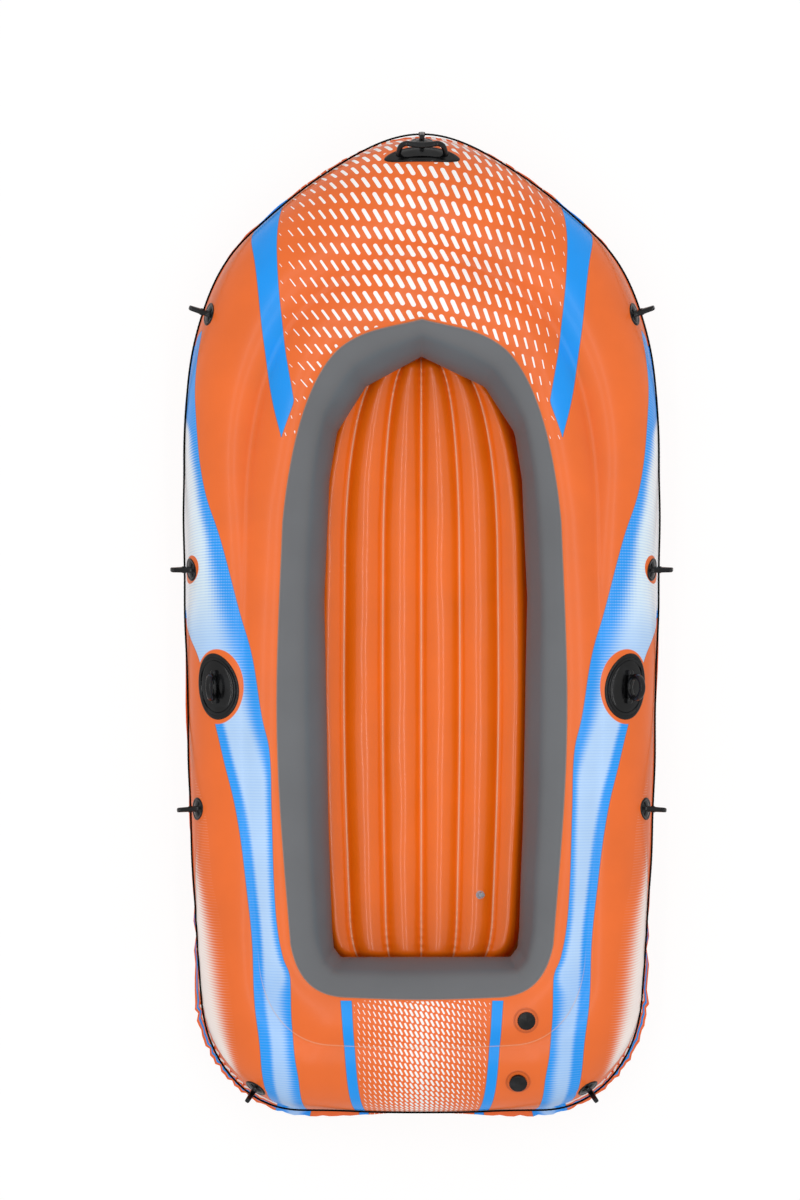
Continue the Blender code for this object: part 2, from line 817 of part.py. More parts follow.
def floor_solid(name, rows, top, bottom):
    # the floor's face raised by top and lowered by bottom, joined round its edge
    flat = BOTTOM_SHEET + SEAT_GAP
    grid = []
    for y in floor_stations(rows):
        half = floor_half_width(rows, y)
        row = [Vector((-half - FLOOR_FLANGE, y, flat))]
        row += [Vector((u * half, y, floor_height(rows, u, y))) for u in floor_columns()]
        row.append(Vector((half + FLOOR_FLANGE, y, flat)))
        grid.append([p + UP * top for p in row] + [p - UP * bottom for p in reversed(row)])
    mesh = loft(name, grid, False, True)
    close_ends(mesh, len(grid[0]))
    return mesh


def make_floor(vinyl):
    rows = floor_outline()
    obj = add_mesh("floor_top", floor_solid("floor_top", rows, SKIN, 0.0), vinyl)
    shade(obj, 30.0)

    bow, stern = floor_ends(rows)
    places = [y for y in floor_stations(rows) if stern + WEB_END_GAP <= y <= bow - WEB_END_GAP]
    for k in range(1, FLOOR_CHANNELS):
        u = -1 + 2 * k / FLOOR_CHANNELS
        strip = []
        for y in places:
            x = u * floor_half_width(rows, y)
            top = floor_height(rows, u, y) - SEAT_GAP
            strip.append([Vector((x, y, BOTTOM_SHEET + SEAT_GAP)), Vector((x, y, top))])
        web = add_mesh(f"floor_web_{k}", loft(f"floor_web_{k}", strip, False, False), vinyl)
        thicken(web, SKIN, 0.0)
    return obj, rows


def close_ends(mesh, count):
    # joins the upper and the lower half of the first and of the last row
    work = bmesh.new()
    work.from_mesh(mesh)
    work.verts.ensure_lookup_table()
    last = len(work.verts) - count
    for start in (0, last):
        for j in range(count // 2 - 1):
            work.faces.new([work.verts[start + k] for k in (j, j + 1, count - 2 - j, count - 1 - j)])
    bmesh.ops.recalc_face_normals(work, faces=work.faces)
    work.to_mesh(mesh)
    work.free()


# Rope and holders


def holder_places():
    places = [("bow_rope_holder", 0.0, 1, HOLDER_ANGLE_BOW)]
    for label, y in (("front", HOLDER_FRONT_Y), ("middle", HOLDER_MIDDLE_Y), ("rear", HOLDER_REAR_Y)):
        q = station_abeam(y, HOLDER_ANGLE_SIDE)
        places.append((f"starboard_{label}_rope_holder", q, 1, HOLDER_ANGLE_SIDE))
        places.append((f"port_{label}_rope_holder", q, -1, HOLDER_ANGLE_SIDE))
    q = station_astern(HOLDER_CORNER_X, HOLDER_ANGLE_CORNER)
    places.append(("starboard_stern_rope_holder", q, 1, HOLDER_ANGLE_CORNER))
    places.append(("port_stern_rope_holder", q, -1, HOLDER_ANGLE_CORNER))
    return places


def rope_place(q, side, holders):
    # angle on the outer tube and height over it: on the skin, and lifted into each eyelet
    values = (
        ROPE_ANGLE_BOW,
        (ROPE_ANGLE_BOW + ROPE_ANGLE_SIDE) / 2,
        ROPE_ANGLE_SIDE,
        ROPE_ANGLE_SIDE,
        ROPE_ANGLE_CORNER,
        ROPE_ANGLE_STERN,
    )
    angle = blend(values, q)
    height = ROPE_DIAMETER / 2 + SEAT_GAP
    here = hull_point(q, side, "outer", 0.0)
    for _, hq, hside, hangle in holders:
        away = (hull_point(hq, hside, "outer", 0.0) - here).length
        if away < ROPE_RISE_RUN:
            pull = (1 + math.cos(math.pi * away / ROPE_RISE_RUN)) / 2
            angle += (hangle - angle) * pull
            height += (EYELET_HEIGHT - height) * pull
    return angle, height


def eyelet_frame(q, side, degrees):
    frame = hull_frame(q, side, "outer", degrees)
    return frame @ Matrix.Translation((0, 0, EYELET_HEIGHT))


def make_rope(holders, slot):
    # The run is counted from the bow, down the starboard side and up the port side. The long
    # sides have a point between each two stations as well.
    places = half_stations()
    between = [(a + b) / 2 for a, b in zip(places, places[1:]) if 1 <= a < 3]
    knots = []
    for section in ring_sections(sorted(places + between)):
        angle, height = rope_place(section.q, section.side, holders)
        count = section.q if section.side > 0 else 2 * SPANS - section.q
        knots.append((count, section.to_space(section.on_tube("outer", angle, height))))
    for _, q, side, degrees in holders:
        frame = eyelet_frame(q, side, degrees)
        eye, along = frame.translation, frame.to_3x3().col[0] * side
        count = q if side > 0 else 2 * SPANS - q
        knots = [knot for knot in knots if (knot[1] - eye).length > 2 * ROPE_STRAIGHT]
        knots.append(((count - 0.001) % (2 * SPANS), eye - along * ROPE_STRAIGHT))
        knots.append((count + 0.001, eye + along * ROPE_STRAIGHT))
    points = [point for _, point in sorted(knots, key=lambda knot: knot[0])]
    curve = bpy.data.curves.new("grab_rope", "CURVE")
    curve.dimensions = "3D"
    curve.bevel_depth = ROPE_DIAMETER / 2
    curve.bevel_resolution = 2
    line = curve.splines.new("POLY")
    line.points.add(len(points) - 1)
    for target, point in zip(line.points, points):
        target.co = (*point, 1.0)
    line.use_cyclic_u = True
    obj = bpy.data.objects.new("grab_rope", curve)
    boat.objects.link(obj)
    curve.materials.append(slot)


def make_holder(name, q, side, degrees, hull_cut, slot, lean=0.0):
    # the fin leans inboard above its eyelet
    radius = HOLDER_DIAMETER / 2
    cone = HOLDER_CONE_DIAMETER / 2
    base = turned(
        name,
        [
            (0.0, HOLDER_CONE),
            (cone * HOLDER_CONE_TOP, HOLDER_CONE),
            (cone, HOLDER_RIM + HOLDER_LIP),
            (radius, HOLDER_RIM),
            (radius, -HOLDER_TUCK),
            (0.0, -HOLDER_TUCK),
        ],
        14,
        slot,
    )
    lay_on_hull(base, q, side, "outer", degrees)
    cut(base, [hull_cut], keep=[hull_cut])

    frame = hull_frame(q, side, "outer", degrees)
    root, tip = FIN_WIDTH_ROOT / 2, FIN_WIDTH_TIP / 2
    waist = root * FIN_WAIST
    outline = [(-root, FIN_FOOT), (root, FIN_FOOT), (waist, EYELET_HEIGHT)]
    tilt = Matrix.Rotation(math.radians(lean * side), 2)
    for k in range(5):
        turn = math.pi * k / 4
        rise = FIN_HEIGHT - EYELET_HEIGHT - tip + tip * math.sin(turn)
        spot = tilt @ Vector((tip * math.cos(turn), rise))
        outline.append((spot.x, EYELET_HEIGHT + spot.y))
    outline.append((-waist, EYELET_HEIGHT))
    fin = plate(name + "_fin", outline, FIN_THICKNESS, ACROSS_X)
    fin.data.transform(frame)
    join(base, [fin])
    bore = ROPE_DIAMETER + 2 * EYELET_CLEARANCE
    channel = rod(name + "_channel", bore, HOLDER_DIAMETER, 10, eyelet_frame(q, side, degrees) @ ALONG_X)
    cut(base, [channel])
    shade(base)


# Bow handle


def make_bow_handle(hull_cut, slot):
    profile = [(share, HANDLE_RIM + height) for share, height in HANDLE_PROFILE]
    profile += [(1.0, -HANDLE_TUCK), (0.0, -HANDLE_TUCK)]
    base = turned("bow_handle", profile, 32, slot)
    base.data.transform(Matrix.Diagonal((HANDLE_LENGTH / 2, HANDLE_WIDTH / 2, 1.0, 1.0)))
    lay_on_hull(base, 0.0, 1, "outer", HANDLE_ANGLE)
    cut(base, [hull_cut], keep=[hull_cut])

    # the loop: a rod swept along legs that lean in and a grip that sags in the middle
    half, top = HANDLE_SPAN / 2, HANDLE_RISE
    path = [(-half + inward, top * lift, HANDLE_BAR * wide) for inward, lift, wide in HANDLE_PATH]
    path.append((-half * HANDLE_GRIP_END, top - HANDLE_SAG / 2, (HANDLE_BAR + HANDLE_GRIP) / 2))
    path.append((0.0, top - HANDLE_SAG, HANDLE_GRIP))
    path += [(-x, z, d) for x, z, d in reversed(path[:-1])]
    rows = []
    sides = 10
    for k, (x, z, width) in enumerate(path):
        before, after = path[max(k - 1, 0)], path[min(k + 1, len(path) - 1)]
        run = Vector((after[0] - before[0], 0, after[1] - before[1])).normalized()
        lift = Vector((-run.z, 0, run.x))
        ring = []
        for j in range(sides):
            turn = math.tau * j / sides
            ring.append(
                Vector((x, 0, z))
                + lift * (HANDLE_BAR / 2 * math.cos(turn))
                + Vector((0, 1, 0)) * (width / 2 * math.sin(turn))
            )
        rows.append(ring)
    loop = add_mesh("handle_loop", loft("handle_loop", rows, False, True), None, cutters)
    work = bmesh.new()
    work.from_mesh(loop.data)
    bmesh.ops.holes_fill(work, edges=work.edges)
    bmesh.ops.recalc_face_normals(work, faces=work.faces)
    work.to_mesh(loop.data)
    work.free()
    frame = hull_frame(0.0, 1, "outer", HANDLE_ANGLE)
    dip = handle_dip()
    loop.data.transform(frame @ Matrix.Translation((0, 0, -dip)))
    join(base, [loop])
    cut(base, [hull_cut], keep=[hull_cut])
    shade(base)
    return frame, dip


def handle_dip():
    # how far the hull falls away under the loop's legs
    frame = hull_frame(0.0, 1, "outer", HANDLE_ANGLE).inverted()
    q = 0.0
    while (frame @ hull_point(q, 1, "outer", HANDLE_ANGLE)).x < HANDLE_SPAN / 2:
        q += 0.005
    return -(frame @ hull_point(q, 1, "outer", HANDLE_ANGLE)).z


# Oarlocks


def make_oarlock(side, hull_cut, slot, steel):
    name = "starboard" if side > 0 else "port"
    q = station_abeam(OARLOCK_Y, OARLOCK_ANGLE)
    frame = hull_frame(q, side, "outer", OARLOCK_ANGLE)
    profile = [(share, OARLOCK_RIM + height) for share, height in OARLOCK_PROFILE]
    profile += [(1.0, -OARLOCK_TUCK), (0.0, -OARLOCK_TUCK)]
    base = turned(f"{name}_oarlock_base", profile, 28, slot)
    base.data.transform(Matrix.Diagonal((OARLOCK_LENGTH / 2, OARLOCK_WIDTH / 2, 1.0, 1.0)))
    lay_on_hull(base, q, side, "outer", OARLOCK_ANGLE)
    cut(base, [hull_cut], keep=[hull_cut])

    # two gusset ears carry the pin; they stand on the domed base, fore and aft of the ring's knuckle
    axis_height = OARLOCK_DOME + HINGE_HEIGHT
    inside = KNUCKLE_LENGTH / 2 + SEAT_GAP
    outside = inside + EAR_THICKNESS
    ears = []
    for sign in (-1, 1):
        head = axis_height + EAR_HEIGHT
        root = OARLOCK_DOME - EAR_SINK
        outline = [
            (sign * inside, root),
            (sign * (outside + EAR_FOOT), root),
            (sign * (outside + EAR_FOOT), root + EAR_FOOT_HEIGHT),
            (sign * outside, head - EAR_CORNER[1]),
            (sign * (outside - EAR_CORNER[0]), head),
            (sign * inside, head),
        ]
        ear = plate(f"{name}_ear", outline, KNUCKLE_DIAMETER, ALONG_Y)
        ear.data.transform(frame)
        face_outwards(ear.data)
        ears.append(ear)
    join(base, ears)
    hinge = frame @ Matrix.Translation((0, 0, axis_height))
    bore = rod(f"{name}_bore", PIN_DIAMETER + 2 * PIN_CLEARANCE, PIN_CUT, 14, hinge @ ALONG_X)
    cut(base, [bore])
    shade(base)

    pin_length = 2 * outside
    pin = rod(f"{name}_oarlock_pin", PIN_DIAMETER, pin_length, 14, hinge @ ALONG_X, slot=steel, where=boat)
    shade(pin)

    # the ring stands on a knuckle between the ears; below the hinge only the knuckle is left
    knuckle = rod(f"{name}_oar_ring", KNUCKLE_DIAMETER, KNUCKLE_LENGTH, 14, ALONG_X, slot=slot, where=boat)
    lift = OAR_RING_DIAMETER / 2 - KNUCKLE_DIAMETER / 2
    outer_r, inner_r, deep = OAR_RING_DIAMETER / 2, OAR_RING_BORE / 2, OAR_RING_DEPTH / 2
    soft = OAR_RING_EDGE
    ring = turned(
        f"{name}_ring_blank",
        [
            (outer_r - soft, deep),
            (outer_r, deep - soft),
            (outer_r, -deep + soft),
            (outer_r - soft, -deep),
            (inner_r + soft, -deep),
            (inner_r, -deep + soft),
            (inner_r, deep - soft),
            (inner_r + soft, deep),
        ],
        28,
        None,
        cutters,
    )
    ring.data.transform(Matrix.Translation((0, 0, lift)) @ ALONG_Y)
    under = block(f"{name}_under", OAR_RING_CUT, (0, 0, -OAR_RING_CUT[2] / 2))
    cut(ring, [under])
    join(knuckle, [ring])
    bore = rod(f"{name}_knuckle_bore", PIN_DIAMETER + 2 * PIN_CLEARANCE, PIN_CUT, 14, ALONG_X)
    cut(knuckle, [bore])
    lean = PORT_RING_LEAN if side < 0 else STARBOARD_RING_LEAN
    inboard = hinge.to_3x3().col[1].dot(Vector((side, 0, 0))) < 0
    turn = Matrix.Rotation(math.radians(lean if not inboard else -lean), 4, "X")
    knuckle.data.transform(turn)
    knuckle.matrix_world = hinge
    shade(knuckle)
    return hinge


# Hull valves


def make_valve(name, tube, x, y, upper, hull_core, rubber, plastic):
    q = station_over(x, y)
    degrees = angle_over(q, tube, x, y)
    frame = hull_frame(q, 1, tube, degrees)
    neck, bore = VALVE_NECK_DIAMETER / 2, VALVE_BORE / 2
    sides = 18

    blank = turned(
        f"{name}_seat",
        [
            (VALVE_SEAT_DIAMETER / 2, VALVE_SEAT_BLANK),
            (VALVE_SEAT_DIAMETER / 2, -VALVE_SEAT_DEPTH),
            (bore, -VALVE_SEAT_DEPTH),
            (bore, VALVE_SEAT_BLANK),
        ],
        sides,
        plastic,
    )
    blank.data.transform(frame)
    boolean(blank, hull_core, "INTERSECT")
    bake(blank)
    rise = VALVE_NECK_RISE
    tube_blank = turned(
        f"{name}_neck",
        [(neck, rise), (neck, -VALVE_SEAT_DEPTH), (bore, -VALVE_SEAT_DEPTH), (bore, rise)],
        sides,
        None,
        cutters,
    )
    tube_blank.data.transform(frame)
    join(blank, [tube_blank])
    shade(blank)

    hole = rod(f"{name}_hole", VALVE_NECK_DIAMETER + 2 * SEAT_GAP, HOLE_CUT, sides, frame)
    cut(upper, [as_cutter(hole)])

    level = rise + SEAT_GAP
    washer(f"{name}_seat_washer", bore + WASHER_CLEARANCE, neck, level, frame, sides, rubber)
    level += VALVE_WASHER + SEAT_GAP

    outer = bore - VALVE_THREAD_CLEARANCE
    throat = VALVE_THROAT / 2
    top = level + VALVE_BODY_FLANGE
    bottom = top - VALVE_BODY_DEPTH
    body = turned(
        f"{name}_body",
        [
            (VALVE_BODY_DIAMETER / 2 - VALVE_BODY_EDGE, top),
            (VALVE_BODY_DIAMETER / 2, top - VALVE_BODY_EDGE),
            (VALVE_BODY_DIAMETER / 2, level),
            (outer, level),
            (outer, bottom),
            (throat, bottom),
            (throat, top),
        ],
        sides,
        plastic,
    )
    wide, thick = VALVE_SPOKE
    run = 2 * (throat + VALVE_SPOKE_ROOT)
    spoke = block(f"{name}_spoke", (run, wide, thick), (0, 0, bottom + thick / 2))
    cross = block(f"{name}_cross", (wide, run, thick), (0, 0, bottom + thick / 2))
    join(body, [spoke, cross])
    body.matrix_world = frame
    shade(body)

    flap = rod(
        f"{name}_flap",
        2 * (outer - VALVE_FLAP_MARGIN),
        VALVE_FLAP,
        sides,
        UPRIGHT,
        (0, 0, bottom - SEAT_GAP - VALVE_FLAP / 2),
        rubber,
        boat,
    )
    flap.matrix_world = frame
    shade(flap)

    level = top + SEAT_GAP
    inner = throat + WASHER_CLEARANCE
    washer(f"{name}_cap_washer", inner, inner + CAP_WASHER_WIDTH, level, frame, sides, rubber)
    level += VALVE_WASHER + SEAT_GAP
    plug = throat - VALVE_THREAD_CLEARANCE
    cap_r = VALVE_CAP_DIAMETER / 2
    crown = level + VALVE_CAP_HEIGHT
    profile = [(cap_r * share, crown - depth) for share, depth in VALVE_CAP_CROWN]
    profile += [
        (cap_r - VALVE_CAP_EDGE, crown),
        (cap_r, crown - VALVE_CAP_EDGE),
        (cap_r, level),
        (plug, level),
        (plug, level - VALVE_PLUG_DEPTH),
        (plug - VALVE_PLUG_WALL, level - VALVE_PLUG_DEPTH),
        (plug - VALVE_PLUG_WALL, level + VALVE_CAP_SHELL),
        (0.0, level + VALVE_CAP_SHELL),
    ]
    cap = turned(f"{name}_cap", profile, sides, plastic)
    cap.matrix_world = frame
    shade(cap)
    return frame


def washer(name, inner, outer, level, frame, sides, slot):
    obj = turned(
        name,
        [(outer, level + VALVE_WASHER), (outer, level), (inner, level), (inner, level + VALVE_WASHER)],
        sides,
        slot,
    )
    obj.matrix_world = frame
    shade(obj)


# Floor valve


def floor_valve_frame(rows):
    # stands square on the facet of the floor that the valve is set in
    low = -1 + 2 * (FLOOR_VALVE_CHANNEL + FLOOR_VALVE_FACET) / FLOOR_CHANNELS
    high = low + 1 / (2 * FLOOR_CHANNELS)
    corners = []
    for y in (FLOOR_VALVE_Y - FLOOR_VALVE_ROOM, FLOOR_VALVE_Y + FLOOR_VALVE_ROOM):
        half = floor_half_width(rows, y)
        corners += [Vector((u * half, y, floor_height(rows, u, y) + SKIN)) for u in (low, high)]
    across = (corners[1] - corners[0] + corners[3] - corners[2]).normalized()
    along = (corners[2] - corners[0] + corners[3] - corners[1]).normalized()
    out = across.cross(along).normalized()
    frame = Matrix((across, out.cross(across), out)).transposed().to_4x4()
    frame.translation = sum(corners, Vector()) / 4
    return frame


def make_floor_valve(floor, rows, clear):
    frame = floor_valve_frame(rows)
    flange, stem, bore = FLOOR_VALVE_FLANGE / 2, FLOOR_VALVE_STEM / 2, FLOOR_VALVE_BORE / 2
    rise, sides = FLOOR_VALVE_RISE, 16
    crown = SEAT_GAP + FLOOR_VALVE_SHEET
    body = turned(
        "floor_valve_stem",
        [
            (bore, rise),
            (stem, rise),
            (stem, crown + FLOOR_STEM_FILLET),
            (stem + FLOOR_STEM_FILLET, crown),
            (flange, crown),
            (flange, SEAT_GAP),
            (stem, SEAT_GAP),
            (stem, -FLOOR_VALVE_DEPTH),
            (bore, -FLOOR_VALVE_DEPTH),
        ],
        sides,
        clear,
    )
    ear_out, ear_down = FLOOR_EAR_PLACE
    ear = block("floor_stem_ear", FLOOR_EAR, (stem + ear_out, 0, rise - ear_down))
    inside = rod("floor_stem_bore", FLOOR_VALVE_BORE, HOLE_CUT, sides, UPRIGHT)
    cut(ear, [inside])
    join(body, [ear])
    body.matrix_world = frame
    shade(body)

    hole = rod("floor_valve_hole", FLOOR_VALVE_STEM + 2 * SEAT_GAP, HOLE_CUT, sides, frame)
    cut(floor, [as_cutter(hole)])
    drop_slivers(floor)

    head = rise + SEAT_GAP
    tip = bore - SEAT_GAP - FLOOR_PLUG_TAPER
    crown = head + FLOOR_PLUG_HEAD
    dimple, dimple_edge, dimple_depth = FLOOR_PLUG_DIMPLE
    plug = turned(
        "floor_valve_plug",
        [
            (0.0, crown - dimple_depth),
            (dimple, crown - dimple_depth),
            (dimple_edge, crown),
            (stem - FLOOR_PLUG_EDGE, crown),
            (stem, crown - FLOOR_PLUG_EDGE),
            (stem, head),
            (bore - SEAT_GAP, head),
            (tip, head - FLOOR_PLUG_DEPTH),
            (0.0, head - FLOOR_PLUG_DEPTH),
        ],
        sides,
        clear,
    )
    strap_width, strap_height = FLOOR_STRAP
    barrel_diameter, barrel_length = FLOOR_BARREL
    run = FLOOR_PLUG_HINGE + barrel_diameter / 2
    strap = block("plug_strap", (run, strap_width, strap_height), (run / 2, 0, head + strap_height / 2))
    hinge = Vector((FLOOR_PLUG_HINGE, 0, head + barrel_diameter / 2))
    barrel = rod("plug_barrel", barrel_diameter, barrel_length, 10, ALONG_Y, hinge)
    join(plug, [strap, barrel])
    plug.data.transform(Matrix.Translation(-hinge))
    plug.matrix_world = frame @ Matrix.Translation(hinge)
    shade(plug)
    return plug.matrix_world.copy()


def tell(label, frame):
    place = ", ".join(f"{v:.6f}" for v in frame.translation)
    along = ", ".join(f"{v:.6f}" for v in frame.to_3x3().col[0])
    out = ", ".join(f"{v:.6f}" for v in frame.to_3x3().col[2])
    print(f"{label}: at ({place}) along ({along}) out ({out})")


clear_scene()
boat = new_collection("inflatable_boat")
cutters = new_collection("cutters")

orange = material("orange_vinyl", (0.85, 0.15, 0.035), 0.32)
floor_orange = material("floor_vinyl", (0.74, 0.12, 0.014), 0.35)
grey_vinyl = material("grey_vinyl", (0.10, 0.10, 0.107), 0.45)
black_rubber = material("black_rubber", (0.012, 0.012, 0.014), 0.35)
black_plastic = material("black_plastic", (0.010, 0.010, 0.012), 0.30)
washer_rubber = material("washer_rubber", (0.02, 0.02, 0.02), 0.6)
black_rope = material("black_rope", (0.012, 0.012, 0.012), 0.8)
pin_steel = material("pin_steel", (0.35, 0.35, 0.36), 0.3, 1.0)
clear_vinyl = material("clear_vinyl", (0.55, 0.65, 0.80), 0.15)

upper_skin, hull_sections = make_hull(orange, grey_vinyl)
hull_cut = hull_solid("hull_cut", hull_sections, SEAT_GAP)
hull_core = hull_solid("hull_core", hull_sections, -SKIN - SEAT_GAP)
bake(upper_skin)

floor_sheet, floor_rows = make_floor(floor_orange)

rope_holders = holder_places()
make_rope(rope_holders, black_rope)
for holder, place, which_side, tilt in rope_holders:
    lean = FIN_LEANS.get(holder.split("_")[-3], 0.0)
    make_holder(holder, place, which_side, tilt, hull_cut, black_rubber, lean)

handle_frame, handle_drop = make_bow_handle(hull_cut, black_rubber)
tell("bow handle", handle_frame)
tell("starboard oar ring hinge", make_oarlock(1, hull_cut, black_rubber, pin_steel))
tell("port oar ring hinge", make_oarlock(-1, hull_cut, black_rubber, pin_steel))
for valve, where_on, valve_x, valve_y in (
    ("inner_valve", "inner", INNER_VALVE_X, INNER_VALVE_Y),
    ("outer_valve", "outer", OUTER_VALVE_X, OUTER_VALVE_Y),
):
    tell(
        valve,
        make_valve(valve, where_on, valve_x, valve_y, upper_skin, hull_core, washer_rubber, black_plastic),
    )
tell("floor plug hinge", make_floor_valve(floor_sheet, floor_rows, clear_vinyl))
drop_slivers(upper_skin)
shade(upper_skin, 60.0)
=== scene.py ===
# Dresses the inflatable boat: printed vinyl skins, cockpit panel, channelled floor, rope and
# fittings. Metres, in the frame of the CAD model: +Y to the bow, +X to starboard, +Z up.
import json
import math

import bmesh
import bpy
from mathutils import Matrix, Vector, noise


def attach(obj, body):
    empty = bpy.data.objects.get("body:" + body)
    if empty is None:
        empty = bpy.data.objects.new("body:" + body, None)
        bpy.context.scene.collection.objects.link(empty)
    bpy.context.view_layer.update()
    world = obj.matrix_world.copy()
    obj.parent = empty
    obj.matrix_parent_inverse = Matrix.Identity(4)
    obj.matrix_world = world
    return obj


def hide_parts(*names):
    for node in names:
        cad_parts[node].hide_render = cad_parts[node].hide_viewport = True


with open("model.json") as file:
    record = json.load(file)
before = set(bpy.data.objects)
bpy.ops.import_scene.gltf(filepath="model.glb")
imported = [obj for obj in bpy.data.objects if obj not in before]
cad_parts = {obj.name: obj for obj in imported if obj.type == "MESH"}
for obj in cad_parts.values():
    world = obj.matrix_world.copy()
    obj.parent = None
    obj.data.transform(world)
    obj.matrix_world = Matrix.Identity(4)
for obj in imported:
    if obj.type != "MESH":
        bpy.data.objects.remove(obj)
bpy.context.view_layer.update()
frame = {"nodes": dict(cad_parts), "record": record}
nodes = frame["nodes"]
print("frame loaded:", len(nodes), "nodes")

up = Vector((0, 0, 1))

# Camera straight above, a little to the port side of the boat's middle
view = {"height": 8.0, "x": -0.0544, "y": 0.0658, "frameHeight": 3.0372, "frameLevel": 0.147, "sensor": 36.0}


def placeCamera():
    data = bpy.data.cameras.new("overhead")
    data.sensor_width = view["sensor"]
    data.lens = view["sensor"] * (view["height"] - view["frameLevel"]) / view["frameHeight"]
    camera = bpy.data.objects.new("overhead", data)
    camera.location = (view["x"], view["y"], view["height"])
    bpy.context.scene.collection.objects.link(camera)
    bpy.context.scene.camera = camera


placeCamera()
print("camera placed")


# The hull's shape: the same plan curves and tubes as the solids, cut into finer sections
hull = {
    "length": 2.461,
    "width": 1.208,
    "bowDeck": 0.5505,
    "sideDeck": 0.350,
    "sternDeck": 0.3925,
    "outerTube": (0.176, 0.139, 0.148),  # radius at the bow, the sides and the stern
    "innerTube": (0.171, 0.145, 0.156),
    "rise": (8.0, 0.0, 2.0),  # how the line through both tubes climbs outwards, in degrees
    "bandTop": (122.5, 105.5, 117.0),  # where the grey panel starts, in degrees round the inner tube
    "bandFoot": 213.0,
    "bandLap": 0.004,  # how far the panel laps on the skin
    "bandLift": 0.0002,
    "flange": 0.006,
    "sheet": 0.0012,
    "gap": 0.0003,
    "skin": 0.0005,
    "stations": (30, 26, 34, 34, 18),  # sections in each span from bow to stern
    "outerSteps": 24,
    "outerGather": 1.15,  # above 1 the steps crowd towards the edge weld
    "innerSteps": 10,
    "bandSteps": 26,
    "underSteps": 14,
}


def heading(degrees):
    turn = math.radians(degrees)
    return Vector((math.cos(turn), -math.sin(turn)))


def planRows():
    # half outlines from bow to stern: x, y, heading, and the handles' reach before and after
    bow, stern, side = hull["length"] / 2, -hull["length"] / 2, hull["width"] / 2
    outline = (
        (0.0, bow, 0.0, 0.0, 0.288),
        (side * 0.713, bow - 0.2325, 42.6, 0.413, 0.242),
        (side, bow - 0.8075, 90.0, 0.474, 0.292),
        (side - 0.0435, stern + 0.2845, 95.0, 0.241, 0.439),
        (side - 0.2985, stern + 0.0076, 174.0, 0.319, 0.262),
        (0.0, stern, 180.0, 0.327, 0.0),
    )
    front, back, inside = bow - hull["bowDeck"], stern + hull["sternDeck"], side - hull["sideDeck"]
    cockpit = (
        (0.0, front, 20.0, 0.0, 0.350),
        (inside * 0.6075, front - 0.0742, 45.4, 0.339, 0.254),
        (inside, front - 0.480, 90.0, 0.353, 0.323),
        (inside - 0.0187, back + 0.1087, 93.2, 0.301, 0.556),
        (inside - 0.0923, back, 180.0, 0.419, 0.309),
        (0.0, back, 180.0, 0.309, 0.0),
    )
    return outline, cockpit


outline, cockpit = planRows()
spans = len(outline) - 1


def planPoint(curve, q):
    span = min(int(q), spans - 1)
    x0, y0, turn0, _, after = curve[span]
    x1, y1, turn1, before, _ = curve[span + 1]
    start, end = Vector((x0, y0)), Vector((x1, y1))
    reach = (end - start).length
    near = start + heading(turn0) * after * reach
    far = end - heading(turn1) * before * reach
    t = q - span
    s = 1 - t
    return s**3 * start + 3 * s * s * t * near + 3 * s * t * t * far + t**3 * end


def along(values, q):
    # eases between values given at the bow, the sides and the stern
    bow, side, stern = values
    spread = (bow, (bow + side) / 2, side, side, stern, stern)
    return ease(spread, q)


def ease(spread, q):
    span = min(int(q), spans - 1)
    t = q - span
    t = t * t * (3 - 2 * t)
    return spread[span] * (1 - t) + spread[span + 1] * t


def smooth(value, low, high):
    t = min(max((value - low) / (high - low), 0.0), 1.0)
    return t * t * (3 - 2 * t)


